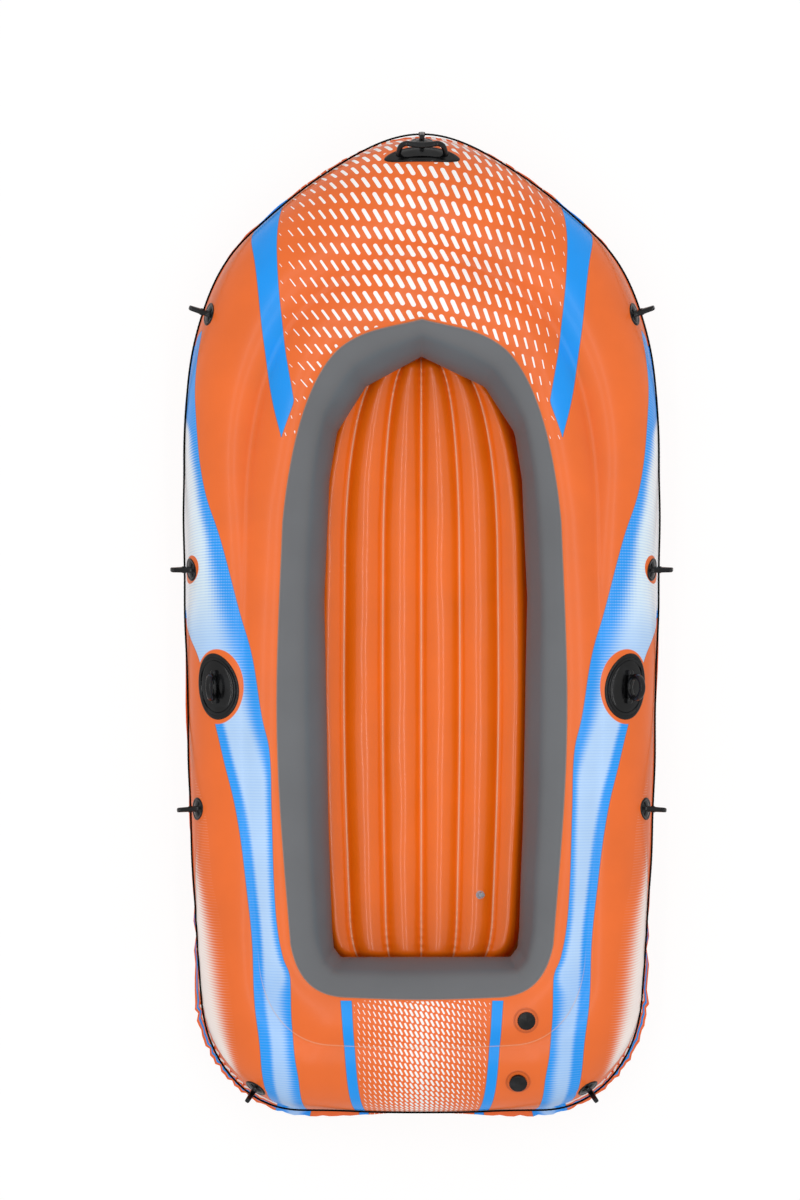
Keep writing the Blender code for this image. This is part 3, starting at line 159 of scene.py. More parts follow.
class HullSection:
    # one upright cut through both tubes; side is 1 to starboard and -1 to port
    def __init__(self, q, side=1):
        if q < 0:
            q, side = -q, -side
        if q > spans:
            q, side = 2 * spans - q, -side
        edge, inner = planPoint(outline, q), planPoint(cockpit, q)
        out = (edge - inner).normalized()
        self.q, self.side = q, side
        self.edge = Vector((edge.x * side, edge.y, 0))
        self.out = Vector((out.x * side, out.y, 0))
        self.foot = Vector((inner.x * side, inner.y, 0))
        self.width = (edge - inner).length - hull["flange"]
        self.outerR = along(hull["outerTube"], q)
        self.innerR = along(hull["innerTube"], q)
        rise = math.radians(along(hull["rise"], q))
        self.bandTop = along(hull["bandTop"], q)
        self.spacing = (self.width - self.outerR - self.innerR) / math.cos(rise)
        self.innerC = Vector((self.innerR, self.innerR + hull["sheet"] + hull["gap"]))
        line = Vector((math.cos(rise), math.sin(rise)))
        self.outerC = self.innerC + line * self.spacing
        self.line, self.across = line, Vector((-line.y, line.x))
        self.topCrease, self.lowCrease = self.crease(True), self.crease(False)
        self.outerTop = self.angle(self.outerC, self.topCrease)
        self.innerTop = self.angle(self.innerC, self.topCrease)
        self.outerLow = self.angle(self.outerC, self.lowCrease)
        self.innerLow = self.angle(self.innerC, self.lowCrease)

    def crease(self, upper):
        big, small = self.outerR, self.innerR
        reach = (self.spacing**2 + big**2 - small**2) / (2 * self.spacing)
        half = math.sqrt(big**2 - reach**2)
        return self.outerC - self.line * reach + self.across * (half if upper else -half)

    def angle(self, centre, point):
        arm = point - centre
        return math.degrees(math.atan2(arm.y, arm.x))

    def space(self, point):
        return self.foot + self.out * point.x + up * point.y

    def tube(self, name, degrees, grow=0.0):
        centre, radius = (self.outerC, self.outerR) if name == "outer" else (self.innerC, self.innerR)
        turn = math.radians(degrees)
        return centre + Vector((math.cos(turn), math.sin(turn))) * (radius + grow)

    def printX(self, name, degrees):
        # how far out the print lies once the skin is unrolled level from the outer tube's top
        if name == "outer":
            return self.outerC.x + self.outerR * math.radians(90 - degrees)
        edge = self.outerC.x + self.outerR * math.radians(90 - self.outerTop)
        return edge - self.innerR * math.radians(degrees - self.innerTop)

    def printPlace(self, name, degrees):
        return self.foot + self.out * self.printX(name, degrees)


def hullPoint(q, side, name, degrees, grow=0.0):
    cut = HullSection(q, side)
    return cut.space(cut.tube(name, degrees, grow))


def hullFrame(q, side, name, degrees):
    # X runs aft along the hull, Z stands square to it
    point = hullPoint(q, side, name, degrees)
    run = (hullPoint(q + 0.01, side, name, degrees) - hullPoint(q - 0.01, side, name, degrees)).normalized()
    around = hullPoint(q, side, name, degrees + 1) - hullPoint(q, side, name, degrees - 1)
    out = run.cross(around).normalized()
    if out.dot(hullPoint(q, side, name, degrees, 0.01) - point) < 0:
        out = -out
    made = Matrix((run, out.cross(run), out)).transposed().to_4x4()
    made.translation = point
    return made


def halve(low, high, passed):
    for _ in range(40):
        middle = (low + high) / 2
        if passed(middle):
            high = middle
        else:
            low = middle
    return (low + high) / 2


def stationAbeam(y, degrees):
    return halve(0.5, 3.5, lambda q: hullPoint(q, 1, "outer", degrees).y < y)


def stationAstern(x, degrees):
    return halve(3.0, float(spans), lambda q: hullPoint(q, 1, "outer", degrees).x < x)


def halfStations():
    found = [0.0]
    for span, count in enumerate(hull["stations"]):
        found += [span + k / count for k in range(1, count + 1)]
    return found


def ringSections():
    # down the starboard side from the bow and back up the port side
    places = halfStations()
    ring = [HullSection(q) for q in places] + [HullSection(q, -1) for q in reversed(places[1:-1])]
    run = 0.0
    for k, cut in enumerate(ring):
        cut.run = run  # metres along the outline, for puckers that must not stretch
        run += (ring[(k + 1) % len(ring)].edge - cut.edge).length
    for cut in ring:
        cut.turns = cut.run / run
    return ring


ring = ringSections()


# Folds and puckers of the blown-up vinyl, in metres
folds = {
    "edgeWaves": 268,  # puckers along the outer weld, all round
    "edgeDepth": (0.0010, 0.0019, 0.0004, 0.0034, 0.0009, 0.0007),  # at each point of the outline
    "edgeReach": 0.026,
    "edgeUneven": (0.65, 0.7, 90),  # middle strength, spread, and changes along the boat
    "edgeRows": (1.0, 0.55),  # rows out on the weld, as shares of its width
    "edgeLift": 0.9,
    "edgeFrill": (0.0, 0.0, 0.0, 0.017, 0.015, -0.002),  # how far the weld stands out, in scallops
    "frillWaves": 130,
    "frillDip": 0.3,
    "frillStart": 2.84,  # outline point where the edge begins to stand out
    "frillGrowth": 0.16,
    "creaseWaves": 150,
    "creaseDepth": (0.0008, 0.0016, 0.0003, 0.0020, 0.0012, 0.0004),
    "creaseReach": 0.030,
    "creaseUneven": (0.6, 0.9, 60),
    "swell": (0.0030, 0.0026, 0.0009, 0.0016, 0.0016, 0.0010),  # broad unevenness
    "swellSize": 4.2,
    "edgeClear": 0.05,  # the swell fades out this near the edge weld,
    "creaseClear": 0.04,  # the crease,
    "bandClear": 0.03,  # and the panel
    "fittingFade": 0.06,
    "ridge": 0.0055,  # the shoulder where the grey panel turns down into the cockpit
    "ridgeAngles": (133.0, 130.0, 141.0),
    "ridgeWidth": 10.0,
    "panelClear": 18,  # degrees past the lap where the panel's own swell is full
    "wallStart": 4,  # degrees past the lap where the wall leaves the tube
    "wallFull": 158.0,
    "wallLean": 0.011,  # the walls stand this much to starboard, as blown up
    # the panel's wall runs straight between these folds, half of them from bow to stern
    "wallFolds": (
        (0.0, 0.681),
        (0.151, 0.606),
        (0.225, 0.490),
        (0.244, 0.370),
        (0.2575, 0.070),
        (0.2470, -0.500),
        (0.2375, -0.770),
        (0.2330, -0.815),
        (0.2150, -0.8385),
        (0.0, -0.8385),
    ),
}


def wallShift(cut):
    # how far the folded wall lies outside the smooth cockpit edge, along the section
    rows = folds["wallFolds"]
    foot, out = Vector((abs(cut.foot.x), cut.foot.y)), Vector((abs(cut.out.x), cut.out.y))
    best = 0.0
    least = 1.0
    shifted = [(x + folds["wallLean"] * cut.side * min(x / 0.1, 1.0), y) for x, y in rows]
    for (x0, y0), (x1, y1) in zip(shifted, shifted[1:]):
        start, run = Vector((x0, y0)), Vector((x1 - x0, y1 - y0))
        cross = out.x * run.y - out.y * run.x
        if abs(cross) < 1e-9:
            continue
        arm = start - foot
        reach = (arm.x * run.y - arm.y * run.x) / cross
        share = (arm.x * out.y - arm.y * out.x) / cross
        if -0.001 <= share <= 1.001 and abs(reach) < least:
            least, best = abs(reach), reach
    return best


def swell(cut, place):
    depth = ease(folds["swell"], cut.q)
    return depth * noise.noise(place * folds["swellSize"] + Vector((3.1, 7.7, 1.9)))


def edgePucker(cut, fromEdge):
    depth = ease(folds["edgeDepth"], cut.q)
    wave = math.sin(math.tau * cut.turns * folds["edgeWaves"])
    middle, spread, changes = folds["edgeUneven"]
    uneven = middle + spread * noise.noise(Vector((cut.turns * changes, cut.side * 3.0, 0.5)))
    return depth * wave * uneven * math.exp(-fromEdge / folds["edgeReach"])


def edgeFrill(cut):
    dip = folds["frillDip"]
    wave = 1 - dip + dip * abs(math.sin(math.pi * cut.turns * folds["frillWaves"]))
    begun = min(max((cut.q - folds["frillStart"]) / folds["frillGrowth"], 0.0), 1.0)
    return ease(folds["edgeFrill"], cut.q) * wave * begun


def creasePucker(cut, fromCrease):
    depth = ease(folds["creaseDepth"], cut.q)
    wave = abs(math.sin(math.pi * cut.turns * folds["creaseWaves"])) - 0.5
    middle, spread, changes = folds["creaseUneven"]
    uneven = middle + spread * noise.noise(Vector((cut.turns * changes, 5.0, cut.side * 2.0)))
    reach = abs(fromCrease) / folds["creaseReach"]
    return depth * wave * uneven * reach * math.exp(1 - 2 * reach)


# The rope's line round the hull; its holders come from the same list
rope = {
    "diameter": 0.0048,
    "angles": (24.0, 18.0, 12.0, 12.0, 27.0, 12.0),  # degrees up the outer tube at each outline point
    "riseRun": 0.26,
    "eyelet": 0.0185,
    "bowAngle": 25.5,
    "sideAngle": 30.0,
    "cornerAngle": 27.0,
    "front": hull["length"] / 2 - 0.4490,
    "middle": 0.142,
    "rear": -hull["length"] / 2 + 0.7725,
    "cornerX": hull["width"] / 2 - 0.187,
}


def holderPlaces():
    places = [("bow_rope_holder", 0.0, 1, rope["bowAngle"])]
    for label in ("front", "middle", "rear"):
        q = stationAbeam(rope[label], rope["sideAngle"])
        places.append((f"starboard_{label}_rope_holder", q, 1, rope["sideAngle"]))
        places.append((f"port_{label}_rope_holder", q, -1, rope["sideAngle"]))
    q = stationAstern(rope["cornerX"], rope["cornerAngle"])
    places.append(("starboard_stern_rope_holder", q, 1, rope["cornerAngle"]))
    places.append(("port_stern_rope_holder", q, -1, rope["cornerAngle"]))
    return places


holders = holderPlaces()
holderSpots = [hullPoint(q, side, "outer", 0.0) for _, q, side, _ in holders]


def ropePlace(q, side):
    angle = ease(rope["angles"], q)
    height = rope["diameter"] / 2 + hull["gap"]
    here = hullPoint(q, side, "outer", 0.0)
    for (_, _, _, tilt), spot in zip(holders, holderSpots):
        away = (spot - here).length
        if away < rope["riseRun"]:
            pull = (1 + math.cos(math.pi * away / rope["riseRun"])) / 2
            angle += (tilt - angle) * pull
            height += (rope["eyelet"] - height) * pull
    return angle, height


# Mesh helpers


def addMesh(name, points, faces, marks=None):
    mesh = bpy.data.meshes.new(name)
    mesh.from_pydata([tuple(p) for p in points], [], faces)
    for label, values in (marks or {}).items():
        layer = mesh.attributes.new(label, "FLOAT_VECTOR", "POINT")
        layer.data.foreach_set("vector", [c for value in values for c in value])
    mesh.shade_smooth()
    mesh.update()
    obj = bpy.data.objects.new(name, mesh)
    bpy.context.scene.collection.objects.link(obj)
    return obj


def gridFaces(rows, count, closedRows, closedAcross=False, flip=False):
    faces = []
    for i in range(rows if closedRows else rows - 1):
        here, there = i * count, (i + 1) % rows * count
        for j in range(count if closedAcross else count - 1):
            k = (j + 1) % count
            quad = (here + j, there + j, there + k, here + k)
            faces.append(quad[::-1] if flip else quad)
    return faces


def dress(obj, material, body, replaced):
    obj.data.materials.clear()
    obj.data.materials.append(material)
    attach(obj, body)
    if replaced:
        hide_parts(*replaced)
    return obj


# Hull skins
def weldRow(cut, level):
    # the rows out on the edge weld: each one's share of its width, and the point
    lift, frill = edgePucker(cut, 0.0), edgeFrill(cut)
    for share in folds["edgeRows"]:
        reach = cut.width + (hull["flange"] + frill) * share + lift
        yield share, cut.space(Vector((reach, level + lift * folds["edgeLift"] * share)))


def upperRow(cut):
    # point, print place, seams (from the panel, the crease and the edge weld) and trim (from the rope)
    ropeAngle = ropePlace(cut.q, cut.side)[0]
    toBand = cut.innerR * math.radians(cut.bandTop - cut.innerTop)
    row = []

    def add(point, printX, fromBand, fromCrease, fromEdge, fromRope):
        row.append((point, cut.foot + cut.out * printX, (fromBand, fromCrease, fromEdge), (fromRope, cut.q, 0.0)))

    total = cut.outerR * math.radians(cut.outerTop)
    outsideRope = -cut.outerR * math.radians(ropeAngle)
    for share, point in weldRow(cut, cut.outerC.y + hull["gap"] / 2 + hull["skin"]):
        past = hull["flange"] * share
        add(point, cut.printX("outer", 0.0) + past, toBand + total + past, total + past, -past, outsideRope)
    for k in range(hull["outerSteps"] + 1):
        degrees = cut.outerTop * (k / hull["outerSteps"]) ** hull["outerGather"]
        fromEdge = cut.outerR * math.radians(degrees)
        fromCrease = total - fromEdge
        grow = edgePucker(cut, fromEdge) + creasePucker(cut, fromCrease)
        fade = smooth(fromEdge, 0.0, folds["edgeClear"]) * smooth(fromCrease, 0.0, folds["creaseClear"])
        point = cut.space(cut.tube("outer", degrees))
        grow += swell(cut, point) * fade * calm(point)
        point = cut.space(cut.tube("outer", degrees, grow))
        fromRope = cut.outerR * math.radians(degrees - ropeAngle)
        add(point, cut.printX("outer", degrees), toBand + fromCrease, fromCrease, fromEdge, fromRope)
    for k in range(1, hull["innerSteps"] + 1):
        degrees = cut.innerTop + (cut.bandTop - cut.innerTop) * k / hull["innerSteps"]
        past = cut.innerR * math.radians(degrees - cut.innerTop)
        grow = creasePucker(cut, past)
        point = cut.space(cut.tube("inner", degrees))
        wave = swell(cut, point) * smooth(past, 0.0, folds["creaseClear"])
        grow += wave * smooth(toBand - past, 0.0, folds["bandClear"]) * calm(point)
        point = cut.space(cut.tube("inner", degrees, grow))
        add(point, cut.printX("inner", degrees), toBand - past, -past, total + past, 1.0)
    return row


def bandRow(cut):
    # the grey panel from its lap on the skin down the folded wall to its foot
    shift = wallShift(cut)
    ridge = along(folds["ridgeAngles"], cut.q)
    row = []
    first = cut.bandTop - math.degrees(hull["bandLap"] / cut.innerR)
    for k in range(hull["bandSteps"] + 1):
        degrees = first + (hull["bandFoot"] - first) * k / hull["bandSteps"]
        grow = hull["gap"] + hull["skin"] + (hull["bandLift"] if k else 0.0)
        grow += folds["ridge"] * math.exp(-(((degrees - ridge) / folds["ridgeWidth"]) ** 2))
        place = cut.space(cut.tube("inner", degrees, grow))
        grow += swell(cut, place) * smooth(degrees, first, first + folds["panelClear"])
        point = cut.space(cut.tube("inner", degrees, grow))
        point += cut.out * shift * smooth(degrees, first + folds["wallStart"], folds["wallFull"])
        down = cut.innerR * math.radians(degrees - first)
        # the lean mark is the angle past the ridge, where the panel's painted shade begins
        row.append((point, (down, cut.run, cut.innerR), (degrees - ridge, 0.0, 0.0)))
    return row


def lowerRow(cut):
    # point, and seams (from the edge weld, along it, and from the crease)
    level = cut.outerC.y - hull["gap"] / 2 - hull["skin"]
    row = [(point, (-hull["flange"] * share, cut.run, 0.0)) for share, point in weldRow(cut, level)]
    total = cut.outerR * math.radians(-cut.outerLow)
    for k in range(hull["underSteps"] + 1):
        degrees = cut.outerLow * k / hull["underSteps"]
        fromEdge = cut.outerR * math.radians(-degrees)
        grow = edgePucker(cut, fromEdge) + creasePucker(cut, total - fromEdge)
        wave = swell(cut, cut.space(cut.tube("outer", degrees))) * smooth(fromEdge, 0.0, folds["edgeClear"])
        grow += wave * smooth(total - fromEdge, 0.0, folds["creaseClear"])
        row.append((cut.space(cut.tube("outer", degrees, grow)), (fromEdge, cut.run, total - fromEdge)))
    last = hull["bandFoot"] - 360.0
    for k in range(1, hull["underSteps"] + 1):
        degrees = cut.innerLow + (last - cut.innerLow) * k / hull["underSteps"]
        past = cut.innerR * math.radians(cut.innerLow - degrees)
        row.append((cut.space(cut.tube("inner", degrees)), (1.0, cut.run, -past)))
    return row


def skinMesh(name, rowOf, labels, flip=False):
    # one skin all round the boat, with the marks that its material reads
    rows = [rowOf(cut) for cut in ring]
    flat = [entry for row in rows for entry in row]
    marks = {label: [tuple(entry[k]) for entry in flat] for k, label in enumerate(labels, 1)}
    faces = gridFaces(len(rows), len(rows[0]), True, flip=flip)
    return addMesh(name, [entry[0] for entry in flat], faces, marks)


def makeSkins(skinVinyl, baseVinyl, panelVinyl):
    upper = skinMesh("printed_upper_skin", upperRow, ("printPlace", "seams", "trim"), flip=True)
    dress(upper, skinVinyl, "hull", ["upper_skin"])
    lower = skinMesh("plain_lower_skin", lowerRow, ("seams",))
    dress(lower, baseVinyl, "hull", ["lower_skin"])
    band = skinMesh("grey_cockpit_panel", bandRow, ("wall", "lean"), flip=True)
    dress(band, panelVinyl, "hull", ["cockpit_band"])


# Floor: six blown-up channels between weld lines
floorPad = {
    "channels": 6,
    "crest": 0.078,
    "valley": 0.022,
    "fall": (0.55, 0.45),  # shares of the valley that fall as a bow and as a round
    "roundness": 0.97,
    "roundDepth": 0.827,
    "tuck": 0.045,
    "nose": 0.014,
    "shoulder": 0.050,
    "across": 12,  # steps across each channel
    "along": 220,
    "outlineSteps": 24,
    "sideClear": 0.17,  # share of a channel at either side that shows no weld line
    "puckerPitch": 0.021,
    "pucker": 0.0010,
    "puckerReach": 0.010,
    "endCalm": 0.75,  # how much the puckers die away at both ends, over this stretch
    "endStretch": (0.10, 0.30),
    "unevenness": 0.0014,
}


def floorRows():
    rows = []
    steps = floorPad["outlineSteps"]
    for k in range(spans * steps + 1):
        cut = HullSection(k / steps)
        point = cut.foot + cut.out * floorPad["tuck"]
        rows.append((point.y, point.x))
    return rows


def floorHalf(rows, y):
    y = max(y, rows[-1][0] + 0.001)
    for (y1, x1), (y0, x0) in zip(rows, rows[1:]):
        if y0 <= y <= y1 and y1 > y0:
            return x0 + (x1 - x0) * (y - y0) / (y1 - y0)
    return rows[-1][1]


def edgeDistance(rows, spot):
    if spot.y <= rows[-1][0]:
        return 0.0
    least = floorPad["shoulder"]
    for (y1, x1), (y0, x0) in zip(rows, rows[1:]):
        start, run = Vector((x1, y1)), Vector((x0 - x1, y0 - y1))
        t = min(max((spot - start).dot(run) / max(run.length_squared, 1e-12), 0.0), 1.0)
        least = min(least, (start + run * t - spot).length)
    return least


def makeFloor(floorVinyl):
    rows = floorRows()
    bow, stern = rows[0][0] - floorPad["nose"], rows[-1][0]
    channels, sideClear = floorPad["channels"], floorPad["sideClear"]
    bowShare, roundShare = floorPad["fall"]
    count = channels * floorPad["across"]
    points, seams, places = [], [], []
    for i in range(floorPad["along"] + 1):
        share = i / floorPad["along"]
        y = stern + (bow - stern) * (share - math.sin(math.tau * share) / 16)
        half = floorHalf(rows, y)
        for j in range(count + 1):
            u = -1 + 2 * j / count
            place = (u + 1) * channels / 2
            across = 2 * (place - math.floor(place)) - 1 if j < count else 1.0
            toSeam = (1 - abs(across)) * half / channels
            hollow = 1 - math.sqrt(max(1 - floorPad["roundness"] * across * across, 0.0))
            fall = bowShare * across * across + roundShare * hollow / floorPad["roundDepth"]
            crown = floorPad["crest"] - floorPad["valley"] * fall
            inward = min(edgeDistance(rows, Vector((abs(u) * half, y))), bow - y) / floorPad["shoulder"]
            bend = math.sin(math.pi / 2 * min(max(inward, 0.0), 1.0))
            z = hull["sheet"] + hull["gap"] + hull["skin"] + crown * bend
            wave = math.sin(math.tau * y / floorPad["puckerPitch"] + 2.0 * noise.noise(Vector((u * 4, y * 9, 1.0))))
            near = math.exp(-toSeam / floorPad["puckerReach"])
            ends = 1 - floorPad["endCalm"] * smooth(min(y - stern, bow - y), *floorPad["endStretch"])
            z += floorPad["pucker"] * wave * near * ends * bend
            z += floorPad["unevenness"] * noise.noise(Vector((u * 5, y * 6.5, 4.0))) * bend * (1 - near)
            points.append(Vector((u * half, y, z)))
            edge = 1.0 if j not in (0, count) else 0.0
            seams.append((toSeam if sideClear < place < channels - sideClear else 1.0, inward, edge))
            places.append((place, y, 0.0))
    faces = gridFaces(floorPad["along"] + 1, count + 1, False, flip=True)
    obj = addMesh("channelled_floor", points, faces, {"seams": seams, "channel": places})
    dress(obj, floorVinyl, "hull", ["floor_top"])
    return obj


# Rope, a tube along the same run as the solid's
def ropeRun(step):
    total = 2 * spans
    knots = []
    k = 0.0
    while k < total:
        side = 1 if k <= spans else -1
        q = k if k <= spans else total - k
        angle, height = ropePlace(q, side)
        cut = HullSection(q, side)
        knots.append(cut.space(cut.tube("outer", angle, height)))
        k += step
    return knots


def evenly(points, gap):
    # the closed run again, with points a fixed distance apart
    loop = points + [points[0]]
    total = sum((b - a).length for a, b in zip(loop, loop[1:]))
    count = round(total / gap)
    made, walked, k = [], 0.0, 0
    for n in range(count):
        goal = total * n / count
        while walked + (loop[k + 1] - loop[k]).length < goal:
            walked += (loop[k + 1] - loop[k]).length
            k += 1
        made.append(loop[k].lerp(loop[k + 1], (goal - walked) / (loop[k + 1] - loop[k]).length))
    return made, total / count


braid = {"step": 0.004, "gap": 0.0042, "sides": 10, "strands": 3, "lay": 0.011, "plump": 0.07}


def makeRope(cord):
    run, gap = evenly(ropeRun(braid["step"]), braid["gap"])
    radius = rope["diameter"] / 2
    points, marks = [], []
    for k, point in enumerate(run):
        ahead = (run[(k + 1) % len(run)] - run[k - 1]).normalized()
        across = ahead.cross(up).normalized()
        lift = across.cross(ahead)
        walked = k * gap
        for j in range(braid["sides"]):
            turn = math.tau * j / braid["sides"]
            strand = 1 + braid["plump"] * math.cos(braid["strands"] * turn - math.tau * walked / braid["lay"])
            points.append(point + (across * math.cos(turn) + lift * math.sin(turn)) * radius * strand)
            marks.append((walked, math.cos(turn), math.sin(turn)))
    faces = gridFaces(len(run), braid["sides"], True, True, flip=True)
    obj = addMesh("braided_grab_rope", points, faces, {"lay": marks})
    return dress(obj, cord, "hull", ["grab_rope"])


# Fittings, moulded finer than the solids, on the same spots of the hull. For each, "still" is
# how far round its middle the skin is drawn tight, and "bare" is the plain print round it.
handle = {
    "length": 0.187,
    "width": 0.058,
    "angle": 46.5,
    "span": 0.112,
    "rise": 0.036,
    "sag": 0.004,
    "bar": 0.013,
    "grip": 0.019,
    "gripStart": 0.45,  # share of the half span
    "still": 0.095,
    "bare": 0.004,
    # share of the half size, and height over the skin
    "patch": (
        (0.03, 0.0030),
        (0.40, 0.0032),
        (0.72, 0.0030),
        (0.78, 0.0022),
        (0.84, 0.0030),
        (0.93, 0.0030),
        (0.97, 0.0020),
        (1.0, 0.0006),
        (1.0, -0.006),
    ),
    # loop from a root to the middle: inward, share of the rise, share of the bar
    "loop": ((-0.004, -0.10, 1.30), (-0.001, 0.35, 1.10), (0.004, 0.78, 1.05), (0.016, 1.0, 1.0)),
    "sides": {"patch": 72, "loop": 22},
    "loopSteps": 5,
}
holder = {
    "radius": 0.0285,
    "still": 0.030,
    "bare": 0.007,
    "disc": (
        (0.04, 0.0052),
        (0.28, 0.0050),
        (0.55, 0.0030),
        (0.70, 0.0018),
        (0.76, 0.0014),
        (0.82, 0.0026),
        (0.93, 0.0026),
        (0.98, 0.0014),
        (1.0, 0.0002),
        (1.0, -0.006),
    ),
    # fin from foot to tip: way gone, share of the lean, half width, half thickness
    "fin": (
        (0.0000, 0.0, 0.0150, 0.0090),
        (0.0050, 0.0, 0.0128, 0.0073),
        (0.0120, 0.1, 0.0112, 0.0068),
        (0.0200, 0.6, 0.0106, 0.0067),
        (0.0280, 1.0, 0.0095, 0.0064),
        (0.0400, 1.0, 0.0076, 0.0061),
        (0.0490, 1.0, 0.0066, 0.0060),
        (0.0525, 1.0, 0.0061, 0.0056),
        (0.0538, 1.0, 0.0050, 0.0044),
    ),
    "square": 0.55,
    "lean": {"bow": 80.0, "stern": 38.0},
    "collar": (0.0056, 0.0162),
    "collarEnds": ((-0.5, 0.8), (-0.44, 1.0), (0.44, 1.0), (0.5, 0.8)),  # place along it, and size
    "sides": {"disc": 44, "fin": 24, "collar": 20},
}
oarlock = {
    "length": 0.165,
    "width": 0.118,
    "angle": 65.0,
    "y": -0.150,
    "still": 0.085,
    "bare": 0.011,
    "base": (
        (0.02, 0.0062),
        (0.30, 0.0061),
        (0.48, 0.0055),
        (0.66, 0.0045),
        (0.755, 0.0034),
        (0.775, 0.0026),
        (0.80, 0.0048),
        (0.85, 0.0046),
        (0.875, 0.0026),
        (0.90, 0.0034),
        (0.955, 0.0032),
        (0.985, 0.0018),
        (1.0, 0.0002),
        (1.0, -0.008),
    ),
    "pinHeight": 0.0155,
    # ear from its inner to its outer face: place along the pin, length at the foot, size
    "ear": ((0.0283, 0.0095, 0.92), (0.0293, 0.0095, 1.0), (0.0383, 0.0105, 1.0), (0.0413, 0.0105, 0.80)),
    "earHead": 0.0222,
    "earShares": (0.42, 0.75, 0.58),  # for the height of its middle, its half length and its half height
    "knuckle": (0.0065, 0.028),
    "knuckleEnds": ((-1.0, 0.72), (-0.95, 1.0), (0.95, 1.0), (1.0, 0.72)),
    "ring": (0.0338, 0.0219, 0.0075),  # outer and inner radius, half depth
    "ringSteps": 72,
    "square": 0.7,
    "lean": {1: -3.5, -1: 16.0},
    "sides": {"base": 88, "ear": 24, "knuckle": 28, "ring": 20},
}
cap = {
    "still": 0.034,
    "sides": 96,
    "rib": 0.022,  # depth of the grip's ribs, as a share of the radius
    "ribSteps": 4,
    "grip": 0.0050,  # height of the ribbed edge
    # share of the radius, and depth under the top
    "crown": (
        (0.02, 0.0),
        (0.14, 0.0),
        (0.18, 0.0008),
        (0.52, 0.0008),
        (0.57, 0.0016),
        (0.86, 0.0014),
        (0.94, 0.0022),
        (1.0, 0.0034),
    ),
    "neck": (0.60, 0.56, 0.10),  # shares of the radius under the grip, at the foot and inside it
}
baseSheet = {"reach": 0.012, "inside": -0.05}  # from the inner tube's middle

capJoints = [joint for joint in frame["record"]["behaviour"]["joints"] if joint["name"].endswith("cap_screw")]


def stillSpots():
    # middles and reaches of what lies on the skin, where it is drawn tight
    spots = [(hullPoint(q, side, "outer", angle), holder["still"]) for _, q, side, angle in holders]
    spots.append((hullPoint(0.0, 1, "outer", handle["angle"]), handle["still"]))
    q = stationAbeam(oarlock["y"], oarlock["angle"])
    spots += [(hullPoint(q, side, "outer", oarlock["angle"]), oarlock["still"]) for side in (1, -1)]
    return spots + [(Vector(joint["pos_m"]), cap["still"]) for joint in capJoints]


still = stillSpots()


def calm(place):
    return min(smooth((place - spot).length, reach, reach + folds["fittingFade"]) for spot, reach in still)


class Shape:
    # gathers the parts of one moulded piece
    def __init__(self):
        self.points, self.faces = [], []

    def add(self, points, faces):
        first = len(self.points)
        self.points += points
        self.faces += [tuple(first + k for k in face) for face in faces]

    def tube(self, rows, loop=False):
        # closed rings joined in order: all the way round, or with both ends filled
        sides = len(rows[0])
        faces = gridFaces(len(rows), sides, loop, True)
        if not loop:
            faces.append(tuple(range(sides)))
            faces.append(tuple(reversed(range((len(rows) - 1) * sides, len(rows) * sides))))
        self.add([point for row in rows for point in row], faces)

    def finish(self, name, material, body, replaced, slotName):
        obj = addMesh(name, self.points, self.faces)
        work = bmesh.new()
        work.from_mesh(obj.data)
        bmesh.ops.recalc_face_normals(work, faces=work.faces)
        for edge in work.edges:
            edge.smooth = not edge.is_manifold or edge.calc_face_angle(0.0) < 0.75
        work.to_mesh(obj.data)
        work.free()
        return dress(obj, material, body, replaced)


def roundTo(middle, one, two, sides, square=1.0):
    # a ring spanned by two half axes; square below 1 fills its corners out
    ring = []
    for j in range(sides):
        turn = math.tau * (j + 0.5) / sides
        c, s = math.cos(turn), math.sin(turn)
        ring.append(middle + one * math.copysign(abs(c) ** square, c) + two * math.copysign(abs(s) ** square, s))
    return ring


def pace(q, side, degrees):
    return (hullPoint(q + 0.01, side, "outer", degrees) - hullPoint(q - 0.01, side, "outer", degrees)).length / 0.02


def drapedDisc(q, side, degrees, halfLong, halfWide, profile, sides):
    # rings of an oval laid on the outer tube, its long axis along the hull
    step, radius = pace(q, side, degrees), HullSection(q, side).outerR
    rows = []
    for share, height in profile:
        row = []
        for j in range(sides):
            turn = math.tau * j / sides
            aft, inboard = halfLong * share * math.cos(turn), halfWide * share * math.sin(turn)
            row.append(hullPoint(q + aft / step, side, "outer", degrees + math.degrees(inboard / radius), height))
        rows.append(row)
    return rows


def makeHolders(material):
    sides = holder["sides"]
    for name, q, side, degrees in holders:
        shape = Shape()
        shape.tube(drapedDisc(q, side, degrees, holder["radius"], holder["radius"], holder["disc"], sides["disc"]))
        spot = hullFrame(q, side, "outer", degrees)
        run, out = spot.col[0].to_3d(), spot.col[2].to_3d()
        inboard = (hullPoint(q, side, "outer", degrees + 1) - hullPoint(q, side, "outer", degrees - 1)).normalized()
        lean = math.radians(holder["lean"].get(name.split("_")[-3], 0.0))
        middle, gone, rows = spot.translation.copy(), 0.0, []
        for way, share, wide, thick in holder["fin"]:
            turn = lean * share
            toward = out * math.cos(turn) + inboard * math.sin(turn)
            across = inboard * math.cos(turn) - out * math.sin(turn)
            middle += toward * (way - gone)
            gone = way
            rows.append(roundTo(middle, across * wide, run * thick, sides["fin"], holder["square"]))
        shape.tube(rows)
        eye, (wide, length) = spot @ Vector((0, 0, rope["eyelet"])), holder["collar"]
        rows = []
        for at, size in holder["collarEnds"]:
            rows.append(roundTo(eye + run * length * at, inboard * wide * size, out * wide * size, sides["collar"]))
        shape.tube(rows)
        shape.finish("moulded_" + name, material, "hull", [name], "black_rubber")


